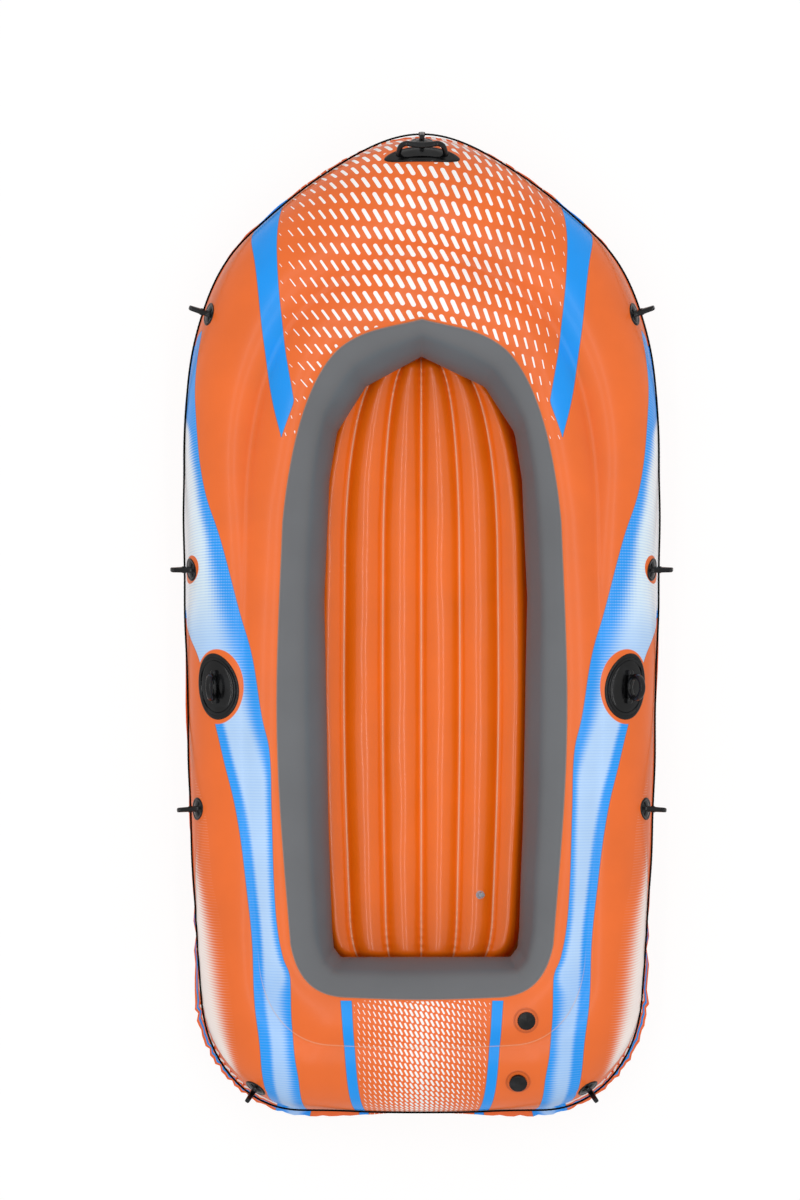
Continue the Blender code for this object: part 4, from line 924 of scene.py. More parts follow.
def easedPath(path, steps):
    # a curve through the given rows of numbers
    def between(p, q, r, s, t):
        return 0.5 * (2 * q + (r - p) * t + (2 * p - 5 * q + 4 * r - s) * t * t + (3 * q - p - 3 * r + s) * t**3)

    made = []
    for k in range(len(path) - 1):
        rows = path[max(k - 1, 0)], path[k], path[k + 1], path[min(k + 2, len(path) - 1)]
        for n in range(steps if k < len(path) - 2 else steps + 1):
            made.append(tuple(between(*values, n / steps) for values in zip(*rows)))
    return made


def makeHandle(material):
    shape, angle, sides = Shape(), handle["angle"], handle["sides"]
    shape.tube(drapedDisc(0.0, 1, angle, handle["length"] / 2, handle["width"] / 2, handle["patch"], sides["patch"]))
    spot = hullFrame(0.0, 1, "outer", angle)
    half, top, bar, grip = handle["span"] / 2, handle["rise"], handle["bar"], handle["grip"]
    leg = hullPoint(half / pace(0.0, 1, angle), 1, "outer", angle)
    dip = -(spot.inverted() @ leg).z
    path = [(-half + inward, top * lift, bar * wide) for inward, lift, wide in handle["loop"]]
    path.append((-half * handle["gripStart"], top - handle["sag"] / 2, (bar + grip) / 2))
    path.append((0.0, top - handle["sag"], grip))
    path += [(-x, z, wide) for x, z, wide in reversed(path[:-1])]
    path = easedPath(path, handle["loopSteps"])
    rows = []
    for k, (x, z, wide) in enumerate(path):
        before, after = path[max(k - 1, 0)], path[min(k + 1, len(path) - 1)]
        run = Vector((after[0] - before[0], 0, after[1] - before[1])).normalized()
        thick = Vector((-run.z, 0, run.x)) * bar / 2
        ring = roundTo(Vector((x, 0, z - dip)), thick, Vector((0, wide / 2, 0)), sides["loop"])
        rows.append([spot @ point for point in ring])
    shape.tube(rows)
    shape.finish("moulded_bow_handle", material, "hull", ["bow_handle"], "black_rubber")


def makeOarlockBase(material, label, q, side, spot):
    shape, sides, angle = Shape(), oarlock["sides"], oarlock["angle"]
    shape.tube(drapedDisc(q, side, angle, oarlock["length"] / 2, oarlock["width"] / 2, oarlock["base"], sides["base"]))
    head, (middle, foot, half) = oarlock["earHead"], oarlock["earShares"]
    for sign in (-1, 1):
        rows = []
        for at, length, size in oarlock["ear"]:
            centre = Vector((sign * at, 0, head * middle))
            fore, tall = Vector((0, length * size * foot, 0)), Vector((0, 0, head * half * size))
            rows.append([spot @ point for point in roundTo(centre, fore, tall, sides["ear"], oarlock["square"])])
        shape.tube(rows)
    shape.finish(f"moulded_{label}_oarlock_base", material, "hull", [f"{label}_oarlock_base"], "black_rubber")


def makeOarRing(material, label, side, hinge):
    shape, sides = Shape(), oarlock["sides"]
    wide, half = oarlock["knuckle"]
    inboard = hinge.to_3x3().col[1].dot(Vector((side, 0, 0))) < 0
    lean = oarlock["lean"][side] * (-1 if inboard else 1)
    place = hinge @ Matrix.Rotation(math.radians(lean), 4, "X")
    rows = []
    for at, size in oarlock["knuckleEnds"]:
        one, two = Vector((0, wide * size, 0)), Vector((0, 0, wide * size))
        rows.append([place @ p for p in roundTo(Vector((half * at, 0, 0)), one, two, sides["knuckle"])])
    shape.tube(rows)
    big, small, deep = oarlock["ring"]
    middle, thick = (big + small) / 2, (big - small) / 2
    rows = []
    for k in range(oarlock["ringSteps"]):
        turn = math.tau * k / oarlock["ringSteps"]
        out = Vector((math.cos(turn), 0, math.sin(turn)))
        centre = Vector((0, 0, big - wide)) + out * middle
        section = roundTo(centre, out * thick, Vector((0, deep, 0)), sides["ring"], oarlock["square"])
        rows.append([place @ p for p in section])
    shape.tube(rows, True)
    shape.finish(f"moulded_{label}_oar_ring", material, f"{label}_ring", [f"{label}_oar_ring"], "black_rubber")


def makeOarlocks(material):
    q = stationAbeam(oarlock["y"], oarlock["angle"])
    for label, side in (("starboard", 1), ("port", -1)):
        spot = hullFrame(q, side, "outer", oarlock["angle"])
        makeOarlockBase(material, label, q, side, spot)
        makeOarRing(material, label, side, spot @ Matrix.Translation((0, 0, oarlock["pinHeight"])))


def makeCaps(material):
    # each cap turned about its screw's axis, with a pressed crown and a ribbed edge
    for joint in capJoints:
        label = joint["name"].split("_")[0]
        node = f"{label}_valve_cap"
        middle, axis = Vector(joint["pos_m"]), Vector(joint["axis"]).normalized()
        spots = [v.co - middle for v in nodes[node].data.vertices]
        low, high = min(p.dot(axis) for p in spots), max(p.dot(axis) for p in spots)
        radius = max((p - axis * p.dot(axis)).length for p in spots)
        one = axis.cross(Vector((1, 0, 0))).normalized()
        two = axis.cross(one)
        under, foot, inside = cap["neck"]
        profile = [(share, high - depth) for share, depth in cap["crown"]]
        profile += [(1.0, high - cap["grip"]), (under, high - cap["grip"]), (foot, low), (inside, low)]
        rows = []
        for share, height in profile:
            row = []
            for j in range(cap["sides"]):
                turn = math.tau * j / cap["sides"]
                notch = cap["rib"] if share == 1.0 and j % cap["ribSteps"] < cap["ribSteps"] / 2 else 0.0
                arm = one * math.cos(turn) + two * math.sin(turn)
                row.append(middle + axis * height + arm * radius * share * (1 - notch))
            rows.append(row)
        shape = Shape()
        shape.tube(rows)
        shape.finish(f"ribbed_{node}", material, f"{label}_cap", [node], "black_plastic")


def makeBase(material):
    # the flat sheet that the boat stands on, welded under the inner tube
    shape = Shape()
    reach, inside = baseSheet["reach"], baseSheet["inside"]
    rows = []
    for lap, height in ((reach, hull["sheet"]), (reach, 0.0), (inside, 0.0)):
        rows.append([cut.foot + cut.out * (cut.innerR + lap) + up * height for cut in ring])
    shape.tube(rows)
    shape.finish("flat_base_sheet", material, "hull", ["bottom_sheet"], "orange_vinyl")


# Materials. Colours are written as they show, 0 to 255 a channel.
def paint(red, green, blue):
    def level(c):
        c = c / 255
        return c / 12.92 if c <= 0.04045 else ((c + 0.055) / 1.055) ** 2.4

    return (level(red), level(green), level(blue), 1.0)


inks = {
    "orange": paint(236, 108, 38),
    "floorOrange": paint(248, 110, 4),
    "blue": paint(0, 150, 244),
    "pale": paint(226, 243, 252),
    "white": paint(252, 250, 248),
    "warmWhite": paint(255, 249, 244),
    "rim": paint(70, 84, 92),
    "grey": paint(106, 108, 111),
    # a darker, bluer grey painted on the panel's inner wall as shade
    "greyWallPaintedShade": paint(100, 109, 115),
    "rubber": paint(5, 5, 6),
    "rope": paint(6, 6, 7),
    "steel": paint(150, 152, 155),
    "weld": paint(250, 196, 160),
    "floorWeld": paint(248, 190, 150),
    "lap": paint(196, 150, 128),
    # painted shade along the ring pressed round each valve
    "pressedRingShade": paint(168, 66, 22),
}


class Wiring:
    # puts nodes in one tree and joins them; a value may be a number, a tuple or a socket
    def __init__(self, tree):
        self.tree = tree
        self.count = 0

    def put(self, kind, **settings):
        node = self.tree.nodes.new(kind)
        for key, value in settings.items():
            setattr(node, key, value)
        node.location = (self.count // 8 * 190 - 1400, 600 - self.count % 8 * 160)
        self.count += 1
        return node

    def feed(self, socket, value):
        if isinstance(value, bpy.types.NodeSocket):
            self.tree.links.new(value, socket)
        else:
            socket.default_value = value

    def math(self, operation, a, b=0.0):
        node = self.put("ShaderNodeMath", operation=operation)
        self.feed(node.inputs[0], a)
        self.feed(node.inputs[1], b)
        return node.outputs[0]

    def plus(self, a, b):
        return self.math("ADD", a, b)

    def minus(self, a, b):
        return self.math("SUBTRACT", a, b)

    def times(self, a, b):
        return self.math("MULTIPLY", a, b)

    def over(self, a, b):
        return self.math("DIVIDE", a, b)

    def most(self, a, b):
        return self.math("MAXIMUM", a, b)

    def size(self, a):
        return self.math("ABSOLUTE", a)

    def less(self, a):
        return self.math("SUBTRACT", 1.0, a)

    def rise(self, value, low, high):
        # 0 below low, 1 above high, eased between; low may be the higher one
        node = self.put("ShaderNodeMapRange", interpolation_type="SMOOTHSTEP")
        self.feed(node.inputs["Value"], value)
        self.feed(node.inputs["From Min"], low)
        self.feed(node.inputs["From Max"], high)
        return node.outputs["Result"]

    def ramp(self, value, fromLow, fromHigh, toLow, toHigh):
        node = self.put("ShaderNodeMapRange")
        for label, given in (("From Min", fromLow), ("From Max", fromHigh), ("To Min", toLow), ("To Max", toHigh)):
            self.feed(node.inputs[label], given)
        self.feed(node.inputs["Value"], value)
        return node.outputs["Result"]

    def mix(self, share, a, b):
        node = self.put("ShaderNodeMix", data_type="RGBA")
        self.feed(node.inputs["Factor"], share)
        self.feed(node.inputs[6], a)
        self.feed(node.inputs[7], b)
        return node.outputs[2]

    def parts(self, vector):
        node = self.put("ShaderNodeSeparateXYZ")
        self.feed(node.inputs[0], vector)
        return node.outputs

    def level(self, x, y):
        node = self.put("ShaderNodeCombineXYZ")
        self.feed(node.inputs["X"], x)
        self.feed(node.inputs["Y"], y)
        return node.outputs[0]

    def attribute(self, name):
        return self.put("ShaderNodeAttribute", attribute_name=name).outputs["Vector"]

    def curve(self, value, low, high, top, spots):
        # reads a drawn line: spots are (value, result) pairs, in metres
        node = self.put("ShaderNodeFloatCurve")
        line = node.mapping.curves[0]
        spots = sorted(spots)
        ends = (spots[0], spots[-1])
        for point, spot in zip((line.points[0], line.points[-1]), ends):
            point.location = ((spot[0] - low) / (high - low), spot[1] / top)
        for spot in spots[1:-1]:
            line.points.new((spot[0] - low) / (high - low), spot[1] / top)
        for point, spot in zip(line.points, spots):
            point.handle_type = "VECTOR" if "sharp" in spot else "AUTO_CLAMPED"
        node.mapping.extend = "HORIZONTAL"
        node.mapping.update()
        self.feed(node.inputs["Value"], self.ramp(value, low, high, 0.0, 1.0))
        return self.times(node.outputs[0], top)

    def use(self, group, **values):
        node = self.put("ShaderNodeGroup", node_tree=group)
        for label, value in values.items():
            self.feed(node.inputs[label], value)
        return node.outputs


def newGroup(name, inputs, outputs):
    group = bpy.data.node_groups.new(name, "ShaderNodeTree")
    kinds = {"value": "NodeSocketFloat", "place": "NodeSocketVector", "colour": "NodeSocketColor"}
    for label, kind, given in inputs:
        socket = group.interface.new_socket(label, in_out="INPUT", socket_type=kinds[kind])
        if given is not None:
            socket.default_value = given
    for label, kind in outputs:
        group.interface.new_socket(label, in_out="OUTPUT", socket_type=kinds[kind])
    wiring = Wiring(group)
    start, end = wiring.put("NodeGroupInput"), wiring.put("NodeGroupOutput")
    start.location, end.location = (-1700, 0), (1700, 0)
    return group, wiring, start.outputs, end.inputs


def grainGroup():
    # the vinyl's fine embossing, and slow unevenness for colour and gloss
    group, w, given, made = newGroup(
        "vinylGrain",
        [("Place", "place", None), ("Grain Size", "value", 0.0016), ("Patch Size", "value", 0.12)],
        [("Grain", "value"), ("Patch", "value")],
    )
    fine = w.put("ShaderNodeTexNoise")
    w.feed(fine.inputs["Vector"], given["Place"])
    w.feed(fine.inputs["Scale"], w.over(1.0, given["Grain Size"]))
    fine.inputs["Detail"].default_value = 1.0
    slow = w.put("ShaderNodeTexNoise")
    w.feed(slow.inputs["Vector"], given["Place"])
    w.feed(slow.inputs["Scale"], w.over(1.0, given["Patch Size"]))
    slow.inputs["Detail"].default_value = 3.0
    w.feed(made["Grain"], fine.outputs["Fac"])
    w.feed(made["Patch"], slow.outputs["Fac"])
    return group


def weldGroup():
    # a pressed weld: a flat ribbon with fine cross ribs, from the distance to its middle line
    group, w, given, made = newGroup(
        "weldLine",
        [
            ("Distance", "value", 1.0),
            ("Run", "value", 0.0),
            ("Half Width", "value", 0.002),
            ("Rib Pitch", "value", 0.002),
        ],
        [("Mask", "value"), ("Height", "value")],
    )
    away = w.size(given["Distance"])
    wide = given["Half Width"]
    mask = w.less(w.rise(away, w.times(wide, 0.75), w.times(wide, 1.15)))
    lip = w.times(w.rise(away, w.times(wide, 0.8), wide), w.less(w.rise(away, wide, w.times(wide, 1.9))))
    rib = w.math("SINE", w.times(w.over(given["Run"], given["Rib Pitch"]), math.tau))
    height = w.minus(w.plus(w.times(lip, 0.6), w.times(w.times(rib, mask), 0.12)), w.times(mask, 0.6))
    w.feed(made["Mask"], mask)
    w.feed(made["Height"], height)
    return group


def dashGroup():
    # rounded slanting dashes in a lattice of columns and rows
    group, w, given, made = newGroup(
        "slantedDashes",
        [
            ("Column", "value", 0.0),
            ("Row", "value", 0.0),
            ("Column Pitch", "value", 0.027),
            ("Row Pitch", "value", 0.0425),
            ("Lean", "value", 0.49),
            ("Half Length", "value", 0.012),
            ("Radius", "value", 0.006),
        ],
        [("Mask", "value")],
    )
    across = w.times(w.minus(w.math("FRACT", given["Column"]), 0.5), given["Column Pitch"])
    along = w.times(w.minus(w.math("FRACT", given["Row"]), 0.5), given["Row Pitch"])
    cos, sin = w.math("COSINE", given["Lean"]), w.math("SINE", given["Lean"])
    length = w.minus(w.times(along, cos), w.times(across, sin))
    side = w.plus(w.times(across, cos), w.times(along, sin))
    past = w.most(w.minus(w.size(length), given["Half Length"]), 0.0)
    away = w.math("SQRT", w.plus(w.times(past, past), w.times(side, side)))
    w.feed(made["Mask"], w.less(w.rise(away, w.minus(given["Radius"], 0.0004), w.plus(given["Radius"], 0.0004))))
    return group


def ringGroup():
    # 1 inside an oval of the unrolled print, for the bare rings round the fittings
    group, w, given, made = newGroup(
        "bareOval",
        [
            ("Place", "place", None),
            ("Centre", "place", None),
            ("Half Width", "value", 0.03),
            ("Half Length", "value", 0.03),
        ],
        [("Mask", "value")],
    )
    x, y, _ = w.parts(given["Place"])
    cx, cy, _ = w.parts(given["Centre"])
    across = w.over(w.minus(x, cx), given["Half Width"])
    fore = w.over(w.minus(y, cy), given["Half Length"])
    away = w.math("SQRT", w.plus(w.times(across, across), w.times(fore, fore)))
    w.feed(made["Mask"], w.less(w.rise(away, 0.985, 1.015)))
    return group


def pressGroup():
    # a ring pressed up in the skin round a valve, and the opening inside it
    group, w, given, made = newGroup(
        "valvePress",
        [
            ("Place", "place", None),
            ("Centre", "place", None),
            ("Axis", "place", None),
            ("Ring", "value", 0.0295),
            ("Opening", "value", 0.0205),
        ],
        [("Ring", "value"), ("Opening", "value"), ("Height", "value")],
    )
    arm = w.put("ShaderNodeVectorMath", operation="SUBTRACT")
    w.feed(arm.inputs[0], given["Place"])
    w.feed(arm.inputs[1], given["Centre"])
    turn = w.put("ShaderNodeVectorMath", operation="CROSS_PRODUCT")
    w.feed(turn.inputs[0], arm.outputs[0])
    w.feed(turn.inputs[1], given["Axis"])
    size = w.put("ShaderNodeVectorMath", operation="LENGTH")
    w.feed(size.inputs[0], turn.outputs[0])
    away = size.outputs["Value"]
    off = w.size(w.minus(away, given["Ring"]))
    w.feed(made["Ring"], w.less(w.rise(off, 0.0010, 0.0034)))
    w.feed(made["Opening"], w.less(w.rise(away, w.minus(given["Opening"], 0.0005), w.plus(given["Opening"], 0.0005))))
    w.feed(made["Height"], w.less(w.rise(off, 0.0, 0.0040)))
    return group


grain, weld, dashes, oval, press = grainGroup(), weldGroup(), dashGroup(), ringGroup(), pressGroup()

# The print, drawn on the unrolled skin: each line gives half widths against the place along the boat
printLines = {
    "reach": (-1.36, 1.36),
    "top": 0.8,
    "bowStripeOuter": ((1.30, 0.462), (1.045, 0.455), (0.89, 0.4145), (0.705, 0.392), (0.56, 0.366), (0.462, 0.341)),
    "bowStripeInner": (
        (1.30, 0.392),
        (1.08, 0.370),
        (0.92, 0.360),
        (0.775, 0.348),
        (0.5494, 0.3098, "sharp"),
        (0.4618, 0.3410),
    ),
    "swooshInner": (
        (0.800, 0.600),
        (0.766, 0.573),
        (0.698, 0.579),
        (0.631, 0.5825),
        (0.528, 0.5735),
        (0.368, 0.551),
        (0.214, 0.5005),
        (0.021, 0.449),
        (-0.071, 0.422),
        (-0.229, 0.396),
        (-0.311, 0.378),
        (-0.46, 0.3725),
        (-0.676, 0.364),
        (-0.7576, 0.356),
        (-0.822, 0.3424),
        (-0.8705, 0.324),
        (-0.98, 0.322),
        (-1.055, 0.317),
        (-1.1355, 0.306),
        (-1.23, 0.305),
    ),
    "swooshOuter": (
        (0.10, 0.74),
        (0.029, 0.6596),
        (-0.031, 0.604),
        (-0.082, 0.5695),
        (-0.243, 0.518),
        (-0.3375, 0.493),
        (-0.463, 0.462),
        (-0.679, 0.433),
        (-0.781, 0.4226),
        (-0.931, 0.4165),
        (-1.057, 0.402),
        (-1.224, 0.399),
    ),
    "hatchInner": (
        (-0.33, 0.645),
        (-0.38, 0.600),
        (-0.47, 0.5515),
        (-0.637, 0.5286),
        (-0.72, 0.5075),
        (-0.846, 0.488),
        (-0.976, 0.471),
        (-1.15, 0.456),
        (-1.25, 0.440),
    ),
    "ropeLine": (
        (1.224, 0.077),
        (1.088, 0.376),
        (0.977, 0.504),
        (0.769, 0.615),
        (0.353, 0.6576),
        (0.091, 0.6585),
        (-0.481, 0.648),
        (-0.708, 0.618),
        (-0.904, 0.579),
        (-1.087, 0.526),
        (-1.205, 0.482),
    ),
    "innerBlue": (  # how wide the solid blue runs along the swoosh's inner edge
        (0.80, 0.10),
        (0.66, 0.080),
        (0.56, 0.045),
        (0.50, 0.018),
        (0.45, 0.005),
        (0.37, 0.003),
        (0.319, 0.008),
        (0.24, 0.016),
        (0.167, 0.018),
        (0.066, 0.012),
        (-0.036, 0.004),
        (-0.27, 0.008),
        (-0.39, 0.001),
        (-1.21, 0.002),
    ),
    "innerFade": (  # and how far it fades out beyond that
        (0.80, 0.030),
        (0.50, 0.032),
        (0.45, 0.050),
        (0.37, 0.040),
        (0.24, 0.040),
        (0.167, 0.055),
        (0.066, 0.080),
        (-0.036, 0.090),
        (-0.15, 0.060),
        (-0.30, 0.036),
        (-0.39, 0.022),
        (-0.86, 0.020),
        (-0.93, 0.044),
        (-1.02, 0.032),
        (-1.21, 0.044),
    ),
    "outerBlue": (
        (0.20, 0.0),
        (0.11, 0.006),
        (0.04, 0.010),
        (0.0, -0.03),
        (-0.17, -0.03),
        (-0.22, 0.014),
        (-0.60, 0.016),
        (-0.90, 0.018),
        (-1.20, 0.022),
    ),
    "sternOuter": ((-0.90, 0.2025), (-1.025, 0.194), (-1.284, 0.173)),
    "sternInner": ((-0.90, 0.1745), (-1.025, 0.168), (-1.284, 0.147)),
}
printEdges = {
    "soft": 0.0012,
    "rim": 3.4,  # strength of the dark rim round the blue
    "panelGap": (0.0090, 0.0100),  # where the print begins outside the grey panel
}
bowDashes = {
    "columns": 13.3,
    "pitch": 0.0425,
    "slope": 0.14,
    "bow": 0.21,
    "lean": (0.49, 0.14),  # in the middle, and how much it changes towards the sides
    "radius": (0.00615, 0.0005),  # in the middle and at the stripes
    "taper": 1.7,
    "halfLength": 0.01185,
    "shrink": (1.0, 0.86, 0.3),  # share of the width where they are shortest and full, and the least length
    "gap": 0.004,
    "margin": 0.010,
    "aftEnd": (0.44, 0.441),
    "stripeEnd": (0.4619, 0.4625),
}
sternDashes = {
    "pitchX": 0.0130,
    "pitchY": 0.0170,
    "slope": 0.16,
    "lean": 0.50,
    "radius": (0.0033, 0.0006),
    "halfLength": 0.0052,
    "gap": 0.005,
    "margin": 0.008,
    "foreEnd": (-0.9255, -0.9245),
}
swooshPrint = {
    "foreEnd": (0.764, 0.768),
    "outerFade": (-0.3, 0.1, 0.018, 0.026),  # places along the boat, and the fade's width at each
    "pale": 0.88,
    "whiteness": (-0.10, 1.0),
    "ripple": (0.0071, 0.44),  # pitch and strength of the fine lines across
    "dots": (0.0043, 0.30),  # and of those along, which break them into dots
    "dotted": (-0.06, 0.06, 0.30, 0.38),  # the stretch where they do
    "deep": (-0.06, 0.12, 0.37),  # aft of this the middle is bluer, by this share
    "deepStern": (-0.90, -0.80, 0.10),
    "whiteByRope": (0.11, 0.02),
    "whiteStart": (-0.02, 0.10),
}
hatchPrint = {
    "growth": (-0.30, -0.84),
    "toneLow": (0.70, -0.05),  # share of the way to the rope where the white starts, early and late
    "toneHigh": (1.35, 0.90),
    "slant": 0.08,
    "pitch": 0.0069,
    "tick": (1.15, 0.60),
    "tickShare": 0.6,
    "blend": (0.05, 1.0),
    "foreEnd": (-0.34, -0.31),
    "aftEnd": (-1.19, -1.10),
    "strength": 0.92,
}
quarterLines = {
    "start": (-0.66, -0.74),
    "inside": (0.36, 0.40),
    "white": (0.0002, 0.0005, 0.0015, 0.0018),  # where it starts, is full, stays full and ends, out from the weld
    "blue": (0.0026, 0.0029, 0.0041, 0.0044),
    "whiteStrength": 0.9,
}


def fittingSpots():
    # centres of the fittings on the unrolled print, with the half sizes of their bare rings
    spots = []
    for _, q, side, angle in holders:
        if side > 0:
            reach = holder["radius"] + holder["bare"]
            spots.append((HullSection(q, side).printPlace("outer", angle), reach, reach))
    q = stationAbeam(oarlock["y"], oarlock["angle"])
    across, fore = oarlock["width"] / 2 + oarlock["bare"], oarlock["length"] / 2 + oarlock["bare"]
    spots.append((HullSection(q, 1).printPlace("outer", oarlock["angle"]), across, fore))
    across, fore = handle["length"] / 2 + handle["bare"], handle["width"] / 2 + handle["bare"]
    spots.append((HullSection(0.0, 1).printPlace("outer", handle["angle"]), across, fore))
    return spots


def printGroup():
    group, w, given, made = newGroup(
        "boatPrint",
        [
            ("Place", "place", None),
            ("From Panel", "value", 0.2),
            ("From Edge", "value", 0.2),
            ("Inboard Of Rope", "value", 0.2),
            ("Ground", "colour", inks["orange"]),
            ("Blue", "colour", inks["blue"]),
            ("Pale", "colour", inks["pale"]),
            ("White", "colour", inks["white"]),
            ("Warm White", "colour", inks["warmWhite"]),
            ("Rim", "colour", inks["rim"]),
        ],
        [("Color", "colour")],
    )
    low, high = printLines["reach"]
    top = printLines["top"]
    signedX, y, _ = w.parts(given["Place"])
    x = w.size(signedX)
    place = w.level(x, y)

    def line(name):
        return w.curve(y, low, high, top, printLines[name])

    def wave(value, pitch):
        return w.size(w.times(w.minus(w.math("FRACT", w.over(value, pitch)), 0.5), 2.0))

    def beyond(value, limit):
        return w.rise(value, w.minus(limit, printEdges["soft"]), w.plus(limit, printEdges["soft"]))

    def between(value, start, full, last, end):
        return w.times(w.rise(value, start, full), w.less(w.rise(value, last, end)))

    def stripeOf(inside, outside):
        return w.times(beyond(x, inside), w.less(beyond(x, outside)))

    def rimOf(mask):
        return w.times(mask, w.less(mask))

    def towardsStern(full, start, share):
        return w.times(w.less(w.rise(y, full, start)), share)

    aboard = w.rise(given["From Panel"], *printEdges["panelGap"])

    # bow panel: white dashes between the blue stripes
    inner, outer = line("bowStripeInner"), line("bowStripeOuter")
    share, signedShare = w.over(x, inner), w.over(signedX, inner)
    slope = w.plus(w.times(signedX, bowDashes["slope"]), w.times(w.times(x, x), bowDashes["bow"]))
    lean, leanChange = bowDashes["lean"]
    shortest, full, least = bowDashes["shrink"]
    shrink = w.ramp(w.rise(share, shortest, full), 0.0, 1.0, least, 1.0)
    bowMask = w.use(
        dashes,
        **{
            "Column": w.plus(w.times(signedShare, bowDashes["columns"]), 0.5),
            "Row": w.over(w.plus(y, slope), bowDashes["pitch"]),
            "Column Pitch": w.over(inner, bowDashes["columns"]),
            "Row Pitch": bowDashes["pitch"],
            "Lean": w.minus(lean, w.times(signedShare, leanChange)),
            "Half Length": w.times(shrink, bowDashes["halfLength"]),
            "Radius": w.ramp(w.math("POWER", share, bowDashes["taper"]), 0.0, 1.0, *bowDashes["radius"]),
        },
    )["Mask"]
    bowMask = w.times(bowMask, w.less(beyond(x, w.minus(inner, bowDashes["gap"]))))
    bowMask = w.times(bowMask, w.rise(y, *bowDashes["aftEnd"]))
    bowMask = w.times(bowMask, beyond(given["From Panel"], bowDashes["margin"]))
    stripe = w.times(w.times(stripeOf(inner, outer), w.rise(y, *bowDashes["stripeEnd"])), aboard)

    # stern panel: smaller dashes between narrow stripes
    inner, outer = line("sternInner"), line("sternOuter")
    astern = w.less(w.rise(y, *sternDashes["foreEnd"]))
    sternMask = w.use(
        dashes,
        **{
            "Column": w.plus(w.over(signedX, sternDashes["pitchX"]), 0.5),
            "Row": w.over(w.plus(y, w.times(signedX, sternDashes["slope"])), sternDashes["pitchY"]),
            "Column Pitch": sternDashes["pitchX"],
            "Row Pitch": sternDashes["pitchY"],
            "Lean": sternDashes["lean"],
            "Half Length": sternDashes["halfLength"],
            "Radius": w.ramp(w.over(x, inner), 0.0, 1.0, *sternDashes["radius"]),
        },
    )["Mask"]
    sternMask = w.times(w.times(sternMask, astern), w.less(beyond(x, w.minus(inner, sternDashes["gap"]))))
    sternMask = w.times(sternMask, beyond(given["From Panel"], sternDashes["margin"]))
    sternStripe = w.times(stripeOf(inner, outer), w.times(astern, aboard))

    # swoosh down each side: blue edges, a pale middle, and fine lines through the fade
    inner, outer = line("swooshInner"), line("swooshOuter")
    swoosh = w.times(w.times(stripeOf(inner, outer), w.less(w.rise(y, *swooshPrint["foreEnd"]))), aboard)
    ropeLine = line("ropeLine")
    blueIn, blueOut = line("innerBlue"), line("outerBlue")
    outerFade = w.ramp(y, *swooshPrint["outerFade"])
    paleIn = w.rise(w.minus(x, inner), blueIn, w.plus(blueIn, line("innerFade")))
    paleOut = w.rise(w.minus(outer, x), blueOut, w.plus(blueOut, outerFade))
    pitch, strength = swooshPrint["ripple"]
    ripple = w.times(w.minus(wave(y, pitch), 0.5), strength)
    pitch, strength = swooshPrint["dots"]
    dots = w.times(w.minus(wave(x, pitch), 0.5), strength)
    ripple = w.plus(ripple, w.times(dots, between(y, *swooshPrint["dotted"])))
    pale = w.times(w.times(paleIn, paleOut), swooshPrint["pale"])
    whiteness = w.rise(w.plus(pale, ripple), *swooshPrint["whiteness"])
    deep = w.plus(towardsStern(*swooshPrint["deep"]), towardsStern(*swooshPrint["deepStern"]))
    centre = w.mix(deep, given["Pale"], given["Blue"])
    byRope = w.rise(w.minus(ropeLine, x), *swooshPrint["whiteByRope"])
    white = w.times(byRope, w.rise(y, *swooshPrint["whiteStart"]))
    swooshColour = w.mix(whiteness, given["Blue"], w.mix(white, centre, given["White"]))

    # aft quarters: white ticks that grow out to the rope
    inner = line("hatchInner")
    reach = w.over(w.minus(x, inner), w.most(w.minus(ropeLine, inner), 0.01))
    growth = w.rise(y, *hatchPrint["growth"])
    toneLow = w.ramp(growth, 0.0, 1.0, *hatchPrint["toneLow"])
    toneHigh = w.ramp(growth, 0.0, 1.0, *hatchPrint["toneHigh"])
    tick = w.minus(wave(w.plus(y, w.times(x, hatchPrint["slant"])), hatchPrint["pitch"]), 0.5)
    tick = w.times(tick, w.ramp(growth, 0.0, 1.0, *hatchPrint["tick"]))
    tone = w.plus(w.rise(reach, toneLow, toneHigh), w.times(tick, hatchPrint["tickShare"]))
    hatch = w.rise(tone, *hatchPrint["blend"])
    hatch = w.times(hatch, w.times(w.less(w.rise(y, *hatchPrint["foreEnd"])), beyond(x, inner)))
    hatch = w.times(hatch, w.rise(given["Inboard Of Rope"], -0.002, 0.002))
    hatch = w.times(hatch, w.rise(y, *hatchPrint["aftEnd"]))

    # outside the rope a white and a blue line run round the quarters, out on the edge weld
    quarter = w.times(w.rise(y, *quarterLines["start"]), w.rise(x, *quarterLines["inside"]))
    outward = w.times(given["From Edge"], -1.0)
    whiteLine = w.times(between(outward, *quarterLines["white"]), quarter)
    blueLine = w.times(between(outward, *quarterLines["blue"]), quarter)

    colour = w.mix(w.most(bowMask, sternMask), given["Ground"], given["White"])
    colour = w.mix(w.times(hatch, hatchPrint["strength"]), colour, given["Warm White"])
    colour = w.mix(w.times(whiteLine, quarterLines["whiteStrength"]), colour, given["White"])
    colour = w.mix(blueLine, colour, given["Blue"])
    colour = w.mix(swoosh, colour, swooshColour)
    colour = w.mix(w.most(stripe, sternStripe), colour, given["Blue"])
    rims = w.most(rimOf(stripe), w.most(rimOf(sternStripe), rimOf(swoosh)))
    colour = w.mix(w.times(rims, printEdges["rim"]), colour, given["Rim"])
    rings = []
    for spot, across, fore in fittingSpots():
        centre = (abs(spot.x), spot.y, 0.0)
        oneRing = w.use(oval, **{"Place": place, "Centre": centre, "Half Width": across, "Half Length": fore})
        rings.append(oneRing["Mask"])
    bare = rings[0]
    for mask in rings[1:]:
        bare = w.most(bare, mask)
    w.feed(made["Color"], w.mix(bare, colour, given["Ground"]))
    return group


